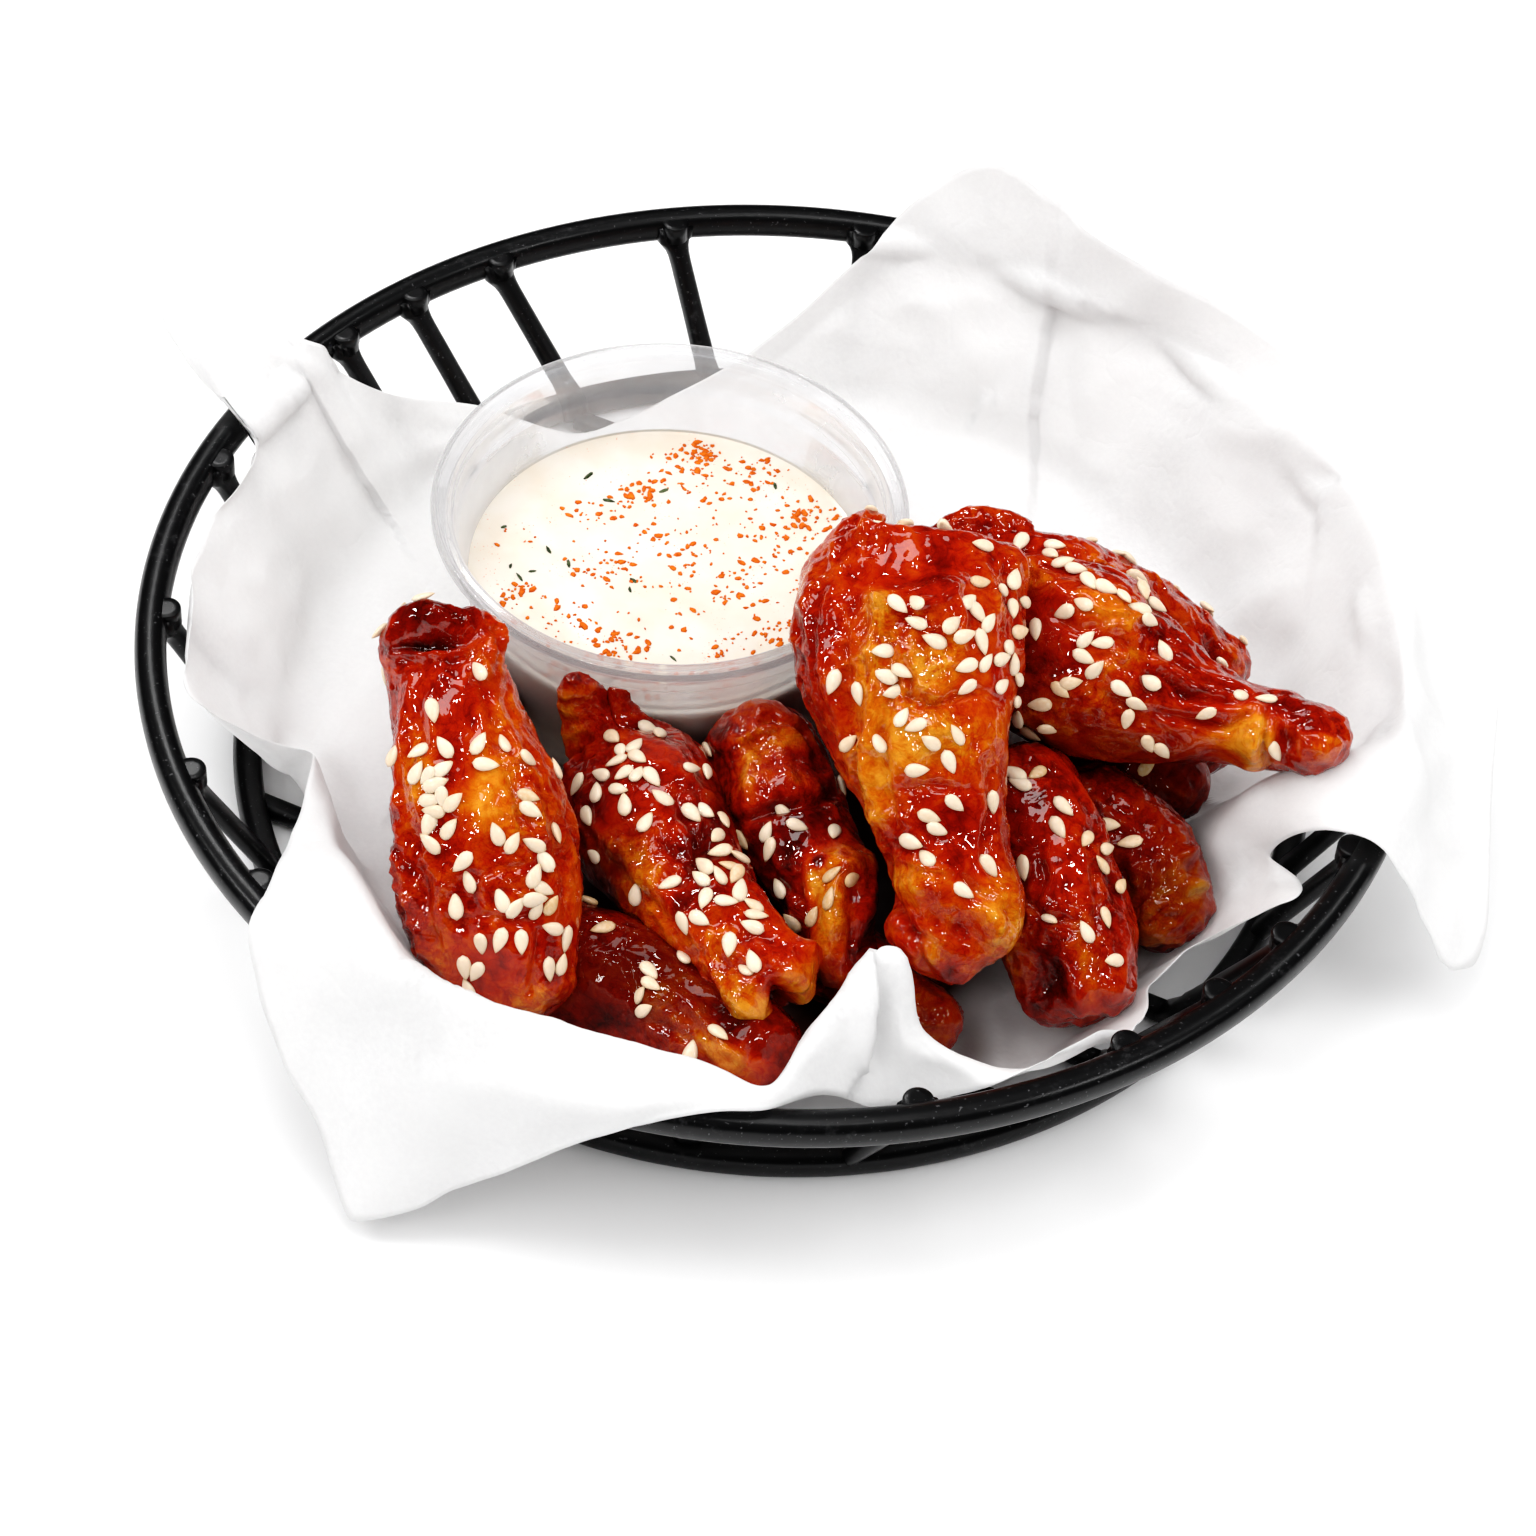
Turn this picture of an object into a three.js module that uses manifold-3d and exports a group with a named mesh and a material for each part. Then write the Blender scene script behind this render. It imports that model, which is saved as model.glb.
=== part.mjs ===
// A serving of glazed chicken wings in a round rib basket: the basket, its sheet of
// wax paper, a clear portion cup of white dip, and a heap of wings with sesame seeds.
// Millimetres, +Z up. The origin is the centre of the basket's underside.

import * as THREE from "three";
import { mergeVertices } from "three/addons/utils/BufferGeometryUtils.js";
import Module from "manifold-3d";

const wasm = await Module();
wasm.setup();

// ---------------------------------------------------------------- driving dimensions

const GAP = 0.3; // clearance between pieces that touch

const RIM_RADIUS = 98.5; // centreline of the basket's rim
const RIM_TUBE = 2.6;
const BASE_RADIUS = 85.1; // centreline of the ring that the basket stands on
const BASE_TUBE = 2.3;
const RIM_HEIGHT = 28.7; // centreline of the rim above the table
const RIB_WIDTH = 3.4;
const RIB_DEPTH = 3.0;
const RIB_FLOOR = 2.2; // middle of the floor ribs above the table
const KNOB_TOP = 32.0; // each rib ends in a knob that stands up inside the rim
const HUB_RADIUS = 15;
const HUB_THICKNESS = 3.2;

const PAPER_THICKNESS = 0.5;
const RIM_CLEARANCE = 5.2; // the sheet keeps this far from the rim's centreline
const PAPER_FLOOR = 4.35; // middle of the sheet where it lies on the floor ribs

const CUP_AT = [-19, 11]; // axis of the portion cup
const CUP_FLOOR = 5.0; // underside of the cup
const CUP_HEIGHT = 37.4;
const CUP_WALL = 0.9;
const DIP_LEVEL = 27.5;

const SEED_LENGTH = 3.7;
const SEED_WIDTH = 2.1;
const SEED_THICKNESS = 1.3;

// ---------------------------------------------------------------- small tools

const degrees = Math.PI / 180;

function polar(azimuth, radius, z) {
  const a = azimuth * degrees;
  return new THREE.Vector3(radius * Math.cos(a), radius * Math.sin(a), z);
}

// A seeded random draw between 0 and 1.
function seededRandom(seed) {
  let state = seed >>> 0;
  return () => {
    state = (state + 0x6d2b79f5) >>> 0;
    let t = state;
    t = Math.imul(t ^ (t >>> 15), t | 1);
    t ^= t + Math.imul(t ^ (t >>> 7), t | 61);
    return ((t ^ (t >>> 14)) >>> 0) / 4294967296;
  };
}

// A closed skin over rings of points, with a fan to one pole at each end.
function skin(rings, startPole, endPole) {
  const around = rings[0].length;
  const points = [...rings.flat(), startPole, endPole];
  const first = rings.length * around;
  const index = [];
  for (let i = 0; i + 1 < rings.length; i++) {
    for (let j = 0; j < around; j++) {
      const k = (j + 1) % around;
      const a = i * around + j;
      const b = i * around + k;
      index.push(a, b, b + around, a, b + around, a + around);
    }
  }
  const last = (rings.length - 1) * around;
  for (let j = 0; j < around; j++) {
    const k = (j + 1) % around;
    index.push(first, k, j);
    index.push(first + 1, last + j, last + k);
  }
  return closedGeometry(points, index);
}

function closedGeometry(points, index) {
  const geometry = new THREE.BufferGeometry();
  geometry.setFromPoints(points);
  geometry.setIndex(index);
  return geometry;
}

// A three.js geometry as a manifold-3d solid; a skin drawn inside out is turned round.
function solidOf(geometry) {
  const bare = new THREE.BufferGeometry();
  bare.setAttribute("position", geometry.getAttribute("position"));
  bare.setIndex(geometry.index);
  const merged = mergeVertices(bare, 1e-4);
  const triVerts = new Uint32Array(merged.index.array);
  const vertProperties = new Float32Array(merged.attributes.position.array);
  const solid = new wasm.Manifold(new wasm.Mesh({ numProp: 3, vertProperties, triVerts }));
  if (solid.volume() > 0) return solid;
  for (let i = 0; i < triVerts.length; i += 3) {
    [triVerts[i + 1], triVerts[i + 2]] = [triVerts[i + 2], triVerts[i + 1]];
  }
  return new wasm.Manifold(new wasm.Mesh({ numProp: 3, vertProperties, triVerts }));
}

function geometryOf(solid) {
  const { vertProperties, triVerts } = solid.getMesh();
  const geometry = new THREE.BufferGeometry();
  geometry.setAttribute("position", new THREE.BufferAttribute(new Float32Array(vertProperties), 3));
  geometry.setIndex(new THREE.BufferAttribute(new Uint32Array(triVerts), 1));
  return geometry.toNonIndexed();
}

// A value between b and c on the smooth curve through a, b, c and d.
function smooth(a, b, c, d, t) {
  const slopeIn = (c - a) / 2;
  const slopeOut = (d - b) / 2;
  const rise = c - b;
  const squared = 3 * rise - 2 * slopeIn - slopeOut;
  const cubed = slopeIn + slopeOut - 2 * rise;
  return b + t * (slopeIn + t * (squared + t * cubed));
}

// The largest of the pieces that a cut leaves.
function largest(solid) {
  return solid.decompose().reduce((a, b) => (b.volume() > a.volume() ? b : a));
}

function union(solids) {
  return solids.reduce((a, b) => a.add(b));
}

// Does this solid reach into any of the others?
function touches(solid, others) {
  const box = solid.boundingBox();
  return others.some((other) => {
    const far = other.boundingBox();
    const apart = [0, 1, 2].some((i) => box.max[i] < far.min[i] || box.min[i] > far.max[i]);
    return !apart && solid.intersect(other).volume() > 1e-6;
  });
}

// ---------------------------------------------------------------- materials

function plain(colour, roughness, metalness = 0) {
  return new THREE.MeshStandardMaterial({ color: colour, roughness, metalness });
}

const black = plain("#0d0d0f", 0.35);
const paper = plain("#efeeef", 0.7);
const clear = plain("#e4e7ea", 0.1);
const ranch = plain("#f7f2e9", 0.4);
const glaze = plain("#a01c08", 0.2);

// ---------------------------------------------------------------- basket

// A ring of round section about the z axis.
function ring(radius, tube, z, steps, sides) {
  const turn = sides % 4 === 0 ? 0.5 : 0; // leaves a flat side underneath
  const profile = [];
  for (let i = 0; i <= sides; i++) {
    const a = ((i + turn) / sides) * 2 * Math.PI;
    profile.push(new THREE.Vector2(radius + tube * Math.cos(a), tube * Math.sin(a)));
  }
  return solidOf(new THREE.LatheGeometry(profile, steps).rotateX(Math.PI / 2).translate(0, 0, z));
}

function disc(radius, bottom, top, steps) {
  const height = top - bottom;
  const geometry = new THREE.CylinderGeometry(radius, radius, height, steps);
  return solidOf(geometry.rotateX(Math.PI / 2).translate(0, 0, bottom + height / 2));
}

// A flat bar of the rib's section along a line of points, kept upright.
function bar(points) {
  const rings = points.map((point, i) => {
    const before = points[Math.max(i - 1, 0)];
    const after = points[Math.min(i + 1, points.length - 1)];
    const along = after.clone().sub(before).normalize();
    const flat = new THREE.Vector3(-along.y, along.x, 0).normalize();
    const out = along.clone().cross(flat).normalize();
    const corners = [[-1, -1], [1, -1], [1, 1], [-1, 1]];
    return corners.map(([s, t]) =>
      point
        .clone()
        .addScaledVector(flat, (s * RIB_WIDTH) / 2)
        .addScaledVector(out, (t * RIB_DEPTH) / 2),
    );
  });
  const [start, end] = [points[0], points[points.length - 1]];
  return solidOf(skin(rings, start.clone(), end.clone()));
}

// Each rib's azimuth at the rim and where it meets the base ring; the basket looks the
// same when it is turned half round, so each row stands for two ribs.
const RIBS = [
  [84.6, 84.6],
  [104.5, 101],
  [123.7, 118.5],
  [134, 130.5],
  [143.3, 141],
  [155.8, 155.8],
  [165, 165],
  [185.7, 185.7],
  [206.1, 206.1],
  [220.7, 220.7],
  [242.6, 242.6],
];
const PARALLEL_BARS = [2, 3, 4]; // ribs that cross the floor side by side
const BAR_DIRECTION = -22; // degrees
const SPOKES = [0]; // ribs that run in to the hub
const BAR_START = BASE_RADIUS - 3.6; // radius where a rib's foot becomes a floor bar

// A wall rib ends in the base ring, or turns in under it where it carries on as a floor bar.
function rib(rimAzimuth, baseAzimuth, carriesOn) {
  const foot = carriesOn
    ? [polar(baseAzimuth, BASE_RADIUS - 1.2, 5.2), polar(baseAzimuth, BAR_START, RIB_FLOOR)]
    : [polar(baseAzimuth, BASE_RADIUS - 0.2, BASE_TUBE + 0.6)];
  return bar([
    polar(rimAzimuth, RIM_RADIUS - 1.9, KNOB_TOP),
    polar(rimAzimuth, RIM_RADIUS - 2.2, RIM_HEIGHT - 1.6),
    ...foot,
  ]);
}

// A floor bar from the foot of a rib, straight on in the bars' common direction to the
// other side of the base ring.
function chord(baseAzimuth) {
  const start = polar(baseAzimuth, BAR_START, RIB_FLOOR);
  const along = polar(BAR_DIRECTION, 1, 0);
  const ahead = start.dot(along);
  const halfChord = Math.sqrt(ahead ** 2 - start.lengthSq() + BASE_RADIUS ** 2);
  return bar([start, start.clone().addScaledVector(along, halfChord - ahead)]);
}

function spoke(azimuth) {
  return bar([polar(azimuth, BAR_START, RIB_FLOOR), polar(azimuth, HUB_RADIUS - 3, RIB_FLOOR)]);
}

function basket() {
  const pieces = [
    ring(RIM_RADIUS, RIM_TUBE, RIM_HEIGHT, 46, 6),
    ring(BASE_RADIUS, BASE_TUBE, BASE_TUBE * Math.cos(Math.PI / 6), 30, 6),
    disc(HUB_RADIUS, 0, HUB_THICKNESS, 16),
  ];
  for (const half of [0, 180]) {
    RIBS.forEach(([rimAzimuth, baseAzimuth], i) => {
      const parallel = PARALLEL_BARS.includes(i);
      const radial = SPOKES.includes(i);
      pieces.push(rib(rimAzimuth + half, baseAzimuth + half, parallel || radial));
      if (parallel) pieces.push(chord(baseAzimuth).rotate([0, 0, half]));
      if (radial) pieces.push(spoke(baseAzimuth + half));
    });
  }
  return union(pieces);
}

// ---------------------------------------------------------------- paper liner

// The sheet's form, one row for each named place round the basket: where it leaves the
// floor [azimuth, radius], its crest [azimuth, radius, height] and its edge [the same].
const SHEET = [
  [[-176, 79], [-176, 88.5, 18], [-176, 94.4, 27.6]],
  [[-166, 79], [-166, 88, 18], [-165, 94.2, 27.6]],
  [[-160, 77.5], [-161.5, 81, 13], [-162, 87, 23]],
  [[-156, 75], [-158, 76.5, 12], [-160.5, 78.5, 18]],
  [[-151, 73], [-152, 76, 17], [-154, 77.5, 20.5]],
  [[-145, 73], [-141, 82, 29], [-145, 85, 26]],
  [[-138, 74], [-133, 87, 35], [-138, 95, 33]],
  [[-130, 75], [-125, 93.5, 40], [-134, 104, 31]],
  [[-122, 76], [-120, 97.5, 41], [-128.5, 108, 19]],
  [[-114, 76], [-114.5, 96, 39.5], [-117.8, 115, 3]],
  [[-107, 76], [-107, 94, 38], [-111.5, 108, 11]],
  [[-100, 76], [-100.5, 93, 37], [-105, 104.5, 21]],
  [[-93, 76], [-92.5, 94, 35.5], [-96.5, 101, 30.5]],
  [[-88, 74.5], [-88, 93.5, 35.2], [-89.5, 98, 33]],
  [[-84, 72], [-83.5, 86.5, 38], [-83.5, 93, 29.5]],
  [[-79.5, 69], [-78.5, 78.5, 42], [-79, 92.4, 25]],
  [[-75.5, 68], [-75.5, 76.5, 41.5], [-75.5, 92.2, 24]],
  [[-71.5, 71], [-71.5, 82, 35.5], [-71.5, 92.4, 25]],
  [[-67, 75], [-68, 88, 28.5], [-67.5, 93.4, 27.5]],
  [[-61, 77.5], [-61, 87.5, 18], [-61, 94, 28.4]],
  [[-55, 78], [-55, 87, 17], [-55, 93.8, 28]],
  [[-48.5, 77], [-48.5, 81.5, 12], [-48.5, 87.2, 20]],
  [[-42, 75.5], [-42, 77.5, 8], [-41.5, 81, 13]],
  [[-36, 75], [-37, 78.5, 9], [-35, 82.5, 16]],
  [[-31, 74], [-32, 83, 15], [-31, 92.5, 25.5]],
  [[-26, 72], [-27, 80, 14], [-26, 90.5, 21.5]],
  [[-21, 68], [-23.5, 75.5, 18], [-23.8, 84.5, 21.5]],
  [[-16, 66], [-19.5, 79, 27], [-24.6, 89, 30]],
  [[-11, 70], [-16, 89, 33.5], [-24.8, 99, 34]],
  [[-5, 75], [-12, 97.5, 36], [-24.4, 107, 25]],
  [[1, 78.5], [-6, 97.5, 36.5], [-23.2, 115, 11]],
  [[8, 79], [1, 97, 37.3], [-18.5, 118, 12]],
  [[16, 79], [8, 97, 37.3], [-9.5, 113.5, 21.5]],
  [[25, 79], [17, 96.5, 37], [1, 112.8, 31]],
  [[34, 79], [27.5, 95, 35], [12, 110, 36]],
  [[43, 79], [38.5, 93.6, 32], [25, 105.5, 38]],
  [[52, 79], [48.5, 93.5, 26], [43, 100.5, 40]],
  [[59, 79], [57, 93.2, 26], [58, 96, 42.5]],
  [[64.5, 79], [64, 93.2, 26], [65.5, 99, 44.5]],
  [[71, 79], [71, 93.2, 26], [73, 101, 46.5]],
  [[78, 79], [78, 92, 24], [79.5, 98.5, 37.5]],
  [[85, 79], [85, 89, 20], [84.5, 92.2, 28]],
  [[93, 79], [93.5, 83.4, 9.5], [94.5, 84.6, 13.5]],
  [[102, 75.5], [103.5, 77.5, 5.2], [106, 79, 6.4]],
  [[117, 66], [118, 70, 4.9], [121, 75, 5.1]],
  [[130, 73], [131, 79.5, 8.2], [132, 83.4, 12.4]],
  [[139, 78.5], [140, 84.5, 13], [141.5, 88.2, 20]],
  [[146, 79], [146.5, 89.5, 22], [147, 93, 28.5]],
  [[149, 79], [149.4, 92, 30], [148.8, 96.5, 35.5]],
  [[151.5, 79], [152, 98, 35.5], [150.5, 106, 34]],
  [[155, 79], [155, 98.5, 36], [152.8, 120, 34.5]],
  [[159.5, 79], [159, 98, 35], [157, 106, 32.5]],
  [[165, 79], [164, 90.5, 23], [162.5, 94.6, 29.6]],
  [[174, 79], [174, 88.5, 18], [174, 94.4, 27.8]],
];
const SHEET_COLUMNS = 62;
const FOOT_ROUNDING = 0.16; // share of each straight run that a fold's rounding takes
const CREST_ROUNDING = 0.2;

// A smooth closed curve through points of any length, at a place counted in rows.
function aroundRows(rows, place) {
  const n = rows.length;
  const i = Math.floor(place);
  const [a, b, c, d] = [-1, 0, 1, 2].map((k) => rows[(((i + k) % n) + n) % n]);
  return b.map((_, k) => smooth(a[k], b[k], c[k], d[k], place - i));
}

// The points that lead one column of the sheet from its middle to its edge.
function sheetColumn(place) {
  const rows = SHEET.map(([foot, crest, edge]) => [
    ...polar(foot[0], foot[1], PAPER_FLOOR).toArray(),
    ...polar(...crest).toArray(),
    ...polar(...edge).toArray(),
  ]);
  const row = aroundRows(rows, place);
  const [foot, crest, edge] = [0, 3, 6].map((k) => new THREE.Vector3(row[k], row[k + 1], row[k + 2]));
  const inner = new THREE.Vector3(foot.x * 0.6, foot.y * 0.6, PAPER_FLOOR);
  const corner = (before, at, after, share) => {
    const start = at.clone().lerp(before, share);
    const end = at.clone().lerp(after, share);
    const middle = start.clone().lerp(at, 0.5).lerp(at.clone().lerp(end, 0.5), 0.5);
    return [start, middle, end];
  };
  const [footStart, , footEnd] = corner(inner, foot, crest, FOOT_ROUNDING);
  const overCrest = corner(foot, crest, edge, CREST_ROUNDING);
  return [footStart, footEnd, ...overCrest, ...bowedOver(overCrest[2], edge), edge].map(clearOfRim);
}

// Two points between the crest and the edge. Where the edge hangs outside the basket they
// bow out far enough for the sheet to pass over the rim.
function bowedOver(crest, edge) {
  const fromRim = (p) => new THREE.Vector2(Math.hypot(p.x, p.y) - RIM_RADIUS, p.z - RIM_HEIGHT);
  const [a, b] = [fromRim(crest), fromRim(edge)];
  const line = b.clone().sub(a);
  const nearest = THREE.MathUtils.clamp(-a.dot(line) / line.lengthSq(), 0.25, 0.6);
  const out = new THREE.Vector2(-line.y, line.x).normalize();
  const miss = Math.max(RIM_CLEARANCE - a.dot(out), 0);
  const bow = miss * THREE.MathUtils.clamp(b.x / 4, 0, 1);
  const rows = [[nearest, bow], [(1 + nearest) / 2, 0.4 * bow]];
  return rows.map(([t, by]) => {
    const point = crest.clone().lerp(edge, t);
    const radius = Math.hypot(point.x, point.y);
    const moved = (radius + out.x * by) / radius;
    return new THREE.Vector3(point.x * moved, point.y * moved, point.z + out.y * by);
  });
}

// The sheet never comes nearer to the rim's centreline than its clearance: it is lifted
// over the rim, or pushed straight away from it where it hangs on either side.
function clearOfRim(point) {
  const radius = Math.hypot(point.x, point.y);
  const [dr, dz] = [radius - RIM_RADIUS, point.z - RIM_HEIGHT];
  const distance = Math.hypot(dr, dz);
  if (distance >= RIM_CLEARANCE) return point;
  if (Math.abs(dr) < 0.75 * RIM_CLEARANCE && dz > -0.3 * RIM_CLEARANCE) {
    return new THREE.Vector3(point.x, point.y, RIM_HEIGHT + Math.sqrt(RIM_CLEARANCE ** 2 - dr ** 2));
  }
  const push = RIM_CLEARANCE / distance;
  const moved = (RIM_RADIUS + dr * push) / radius;
  return new THREE.Vector3(point.x * moved, point.y * moved, RIM_HEIGHT + dz * push);
}

// The sheet with its thickness: two faces split alike, and a strip that closes the edge.
function liner(thickness) {
  const columns = [];
  for (let j = 0; j < SHEET_COLUMNS; j++) {
    columns.push(sheetColumn((j / SHEET_COLUMNS) * SHEET.length));
  }
  const depth = columns[0].length;
  const normal = (j, i) => {
    const left = columns[(j + SHEET_COLUMNS - 1) % SHEET_COLUMNS][i];
    const right = columns[(j + 1) % SHEET_COLUMNS][i];
    const inner = columns[j][Math.max(i - 1, 0)];
    const outer = columns[j][Math.min(i + 1, depth - 1)];
    return outer.clone().sub(inner).cross(right.clone().sub(left)).normalize();
  };
  const points = [];
  for (const side of [1, -1]) {
    points.push(new THREE.Vector3(0, 0, PAPER_FLOOR + (side * thickness) / 2));
    for (let j = 0; j < SHEET_COLUMNS; j++) {
      for (let i = 0; i < depth; i++) {
        const onFloor = i < 1;
        const up = onFloor ? new THREE.Vector3(0, 0, 1) : normal(j, i);
        points.push(columns[j][i].clone().addScaledVector(up, (side * thickness) / 2));
      }
    }
  }
  const face = 1 + SHEET_COLUMNS * depth;
  const index = [];
  const at = (side, j, i) => side * face + 1 + (j % SHEET_COLUMNS) * depth + i;
  for (let j = 0; j < SHEET_COLUMNS; j++) {
    index.push(0, at(0, j, 0), at(0, j + 1, 0));
    index.push(face, at(1, j + 1, 0), at(1, j, 0));
    for (let i = 0; i + 1 < depth; i++) {
      const upper = [at(0, j, i), at(0, j, i + 1), at(0, j + 1, i + 1), at(0, j + 1, i)];
      const lower = [at(1, j, i), at(1, j, i + 1), at(1, j + 1, i + 1), at(1, j + 1, i)];
      index.push(upper[0], upper[1], upper[2], upper[0], upper[2], upper[3]);
      index.push(lower[0], lower[2], lower[1], lower[0], lower[3], lower[2]);
    }
    const [a, b] = [at(0, j, depth - 1), at(0, j + 1, depth - 1)];
    const [c, d] = [at(1, j, depth - 1), at(1, j + 1, depth - 1)];
    index.push(a, c, d, a, d, b);
  }
  return solidOf(closedGeometry(points, index));
}

// ---------------------------------------------------------------- cup and dip

function turnedProfile(profile, steps) {
  const points = profile.map(([r, z]) => new THREE.Vector2(r, z));
  const geometry = new THREE.LatheGeometry(points, steps).rotateX(Math.PI / 2);
  return solidOf(geometry.translate(CUP_AT[0], CUP_AT[1], CUP_FLOOR));
}

const CUP_STEPS = 32;
const CUP_FOOT = 28.6; // outside radius at the bottom
const CUP_SHOULDER = 33.8; // outside radius under the step
const SHOULDER_HEIGHT = 29.5;
const CUP_MOUTH = 35.3; // outside radius above the step
const CUP_FLANGE = 37.6;

function cup() {
  return turnedProfile(
    [
      [0, 0],
      [CUP_FOOT, 0],
      [CUP_SHOULDER, SHOULDER_HEIGHT],
      [CUP_MOUTH - 0.4, SHOULDER_HEIGHT + 1.2],
      [CUP_MOUTH, CUP_HEIGHT - 2.2],
      [CUP_FLANGE, CUP_HEIGHT - 2.2],
      [CUP_FLANGE, CUP_HEIGHT],
      [CUP_MOUTH - CUP_WALL, CUP_HEIGHT],
      [CUP_MOUTH - CUP_WALL - 0.4, SHOULDER_HEIGHT + 1.6],
      [CUP_SHOULDER - CUP_WALL, SHOULDER_HEIGHT + 0.4],
      [CUP_FOOT - CUP_WALL, CUP_WALL],
      [0, CUP_WALL],
    ],
    CUP_STEPS,
  );
}

// The cup's wall leans out, so the dip is a cone's slice one gap inside it.
function dip() {
  const innerAt = (height) => {
    const share = height / SHOULDER_HEIGHT;
    return CUP_FOOT + (CUP_SHOULDER - CUP_FOOT) * share - CUP_WALL - GAP;
  };
  const bottom = CUP_WALL + GAP;
  const top = DIP_LEVEL - CUP_FLOOR;
  return turnedProfile([[0, bottom], [innerAt(bottom), bottom], [innerAt(top), top], [0, top]], CUP_STEPS);
}

// The space that the cup takes, as a plain cone that other pieces keep clear of.
function cupSpace() {
  return turnedProfile(
    [
      [0, -GAP],
      [CUP_FOOT + GAP, -GAP],
      [CUP_MOUTH + GAP, CUP_HEIGHT - 2.6],
      [CUP_FLANGE + GAP, CUP_HEIGHT - 2.6],
      [CUP_FLANGE + GAP, CUP_HEIGHT + GAP],
      [0, CUP_HEIGHT + GAP],
    ],
    CUP_STEPS,
  );
}

// ---------------------------------------------------------------- wings

const WING_FLOOR = PAPER_FLOOR + PAPER_THICKNESS / 2 + 0.35;
const WALL_RADIUS = 77.5; // where the paper's wall starts, on the floor
const WALL_LEAN = 0.5; // how far the wall leans out for each unit of height

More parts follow.
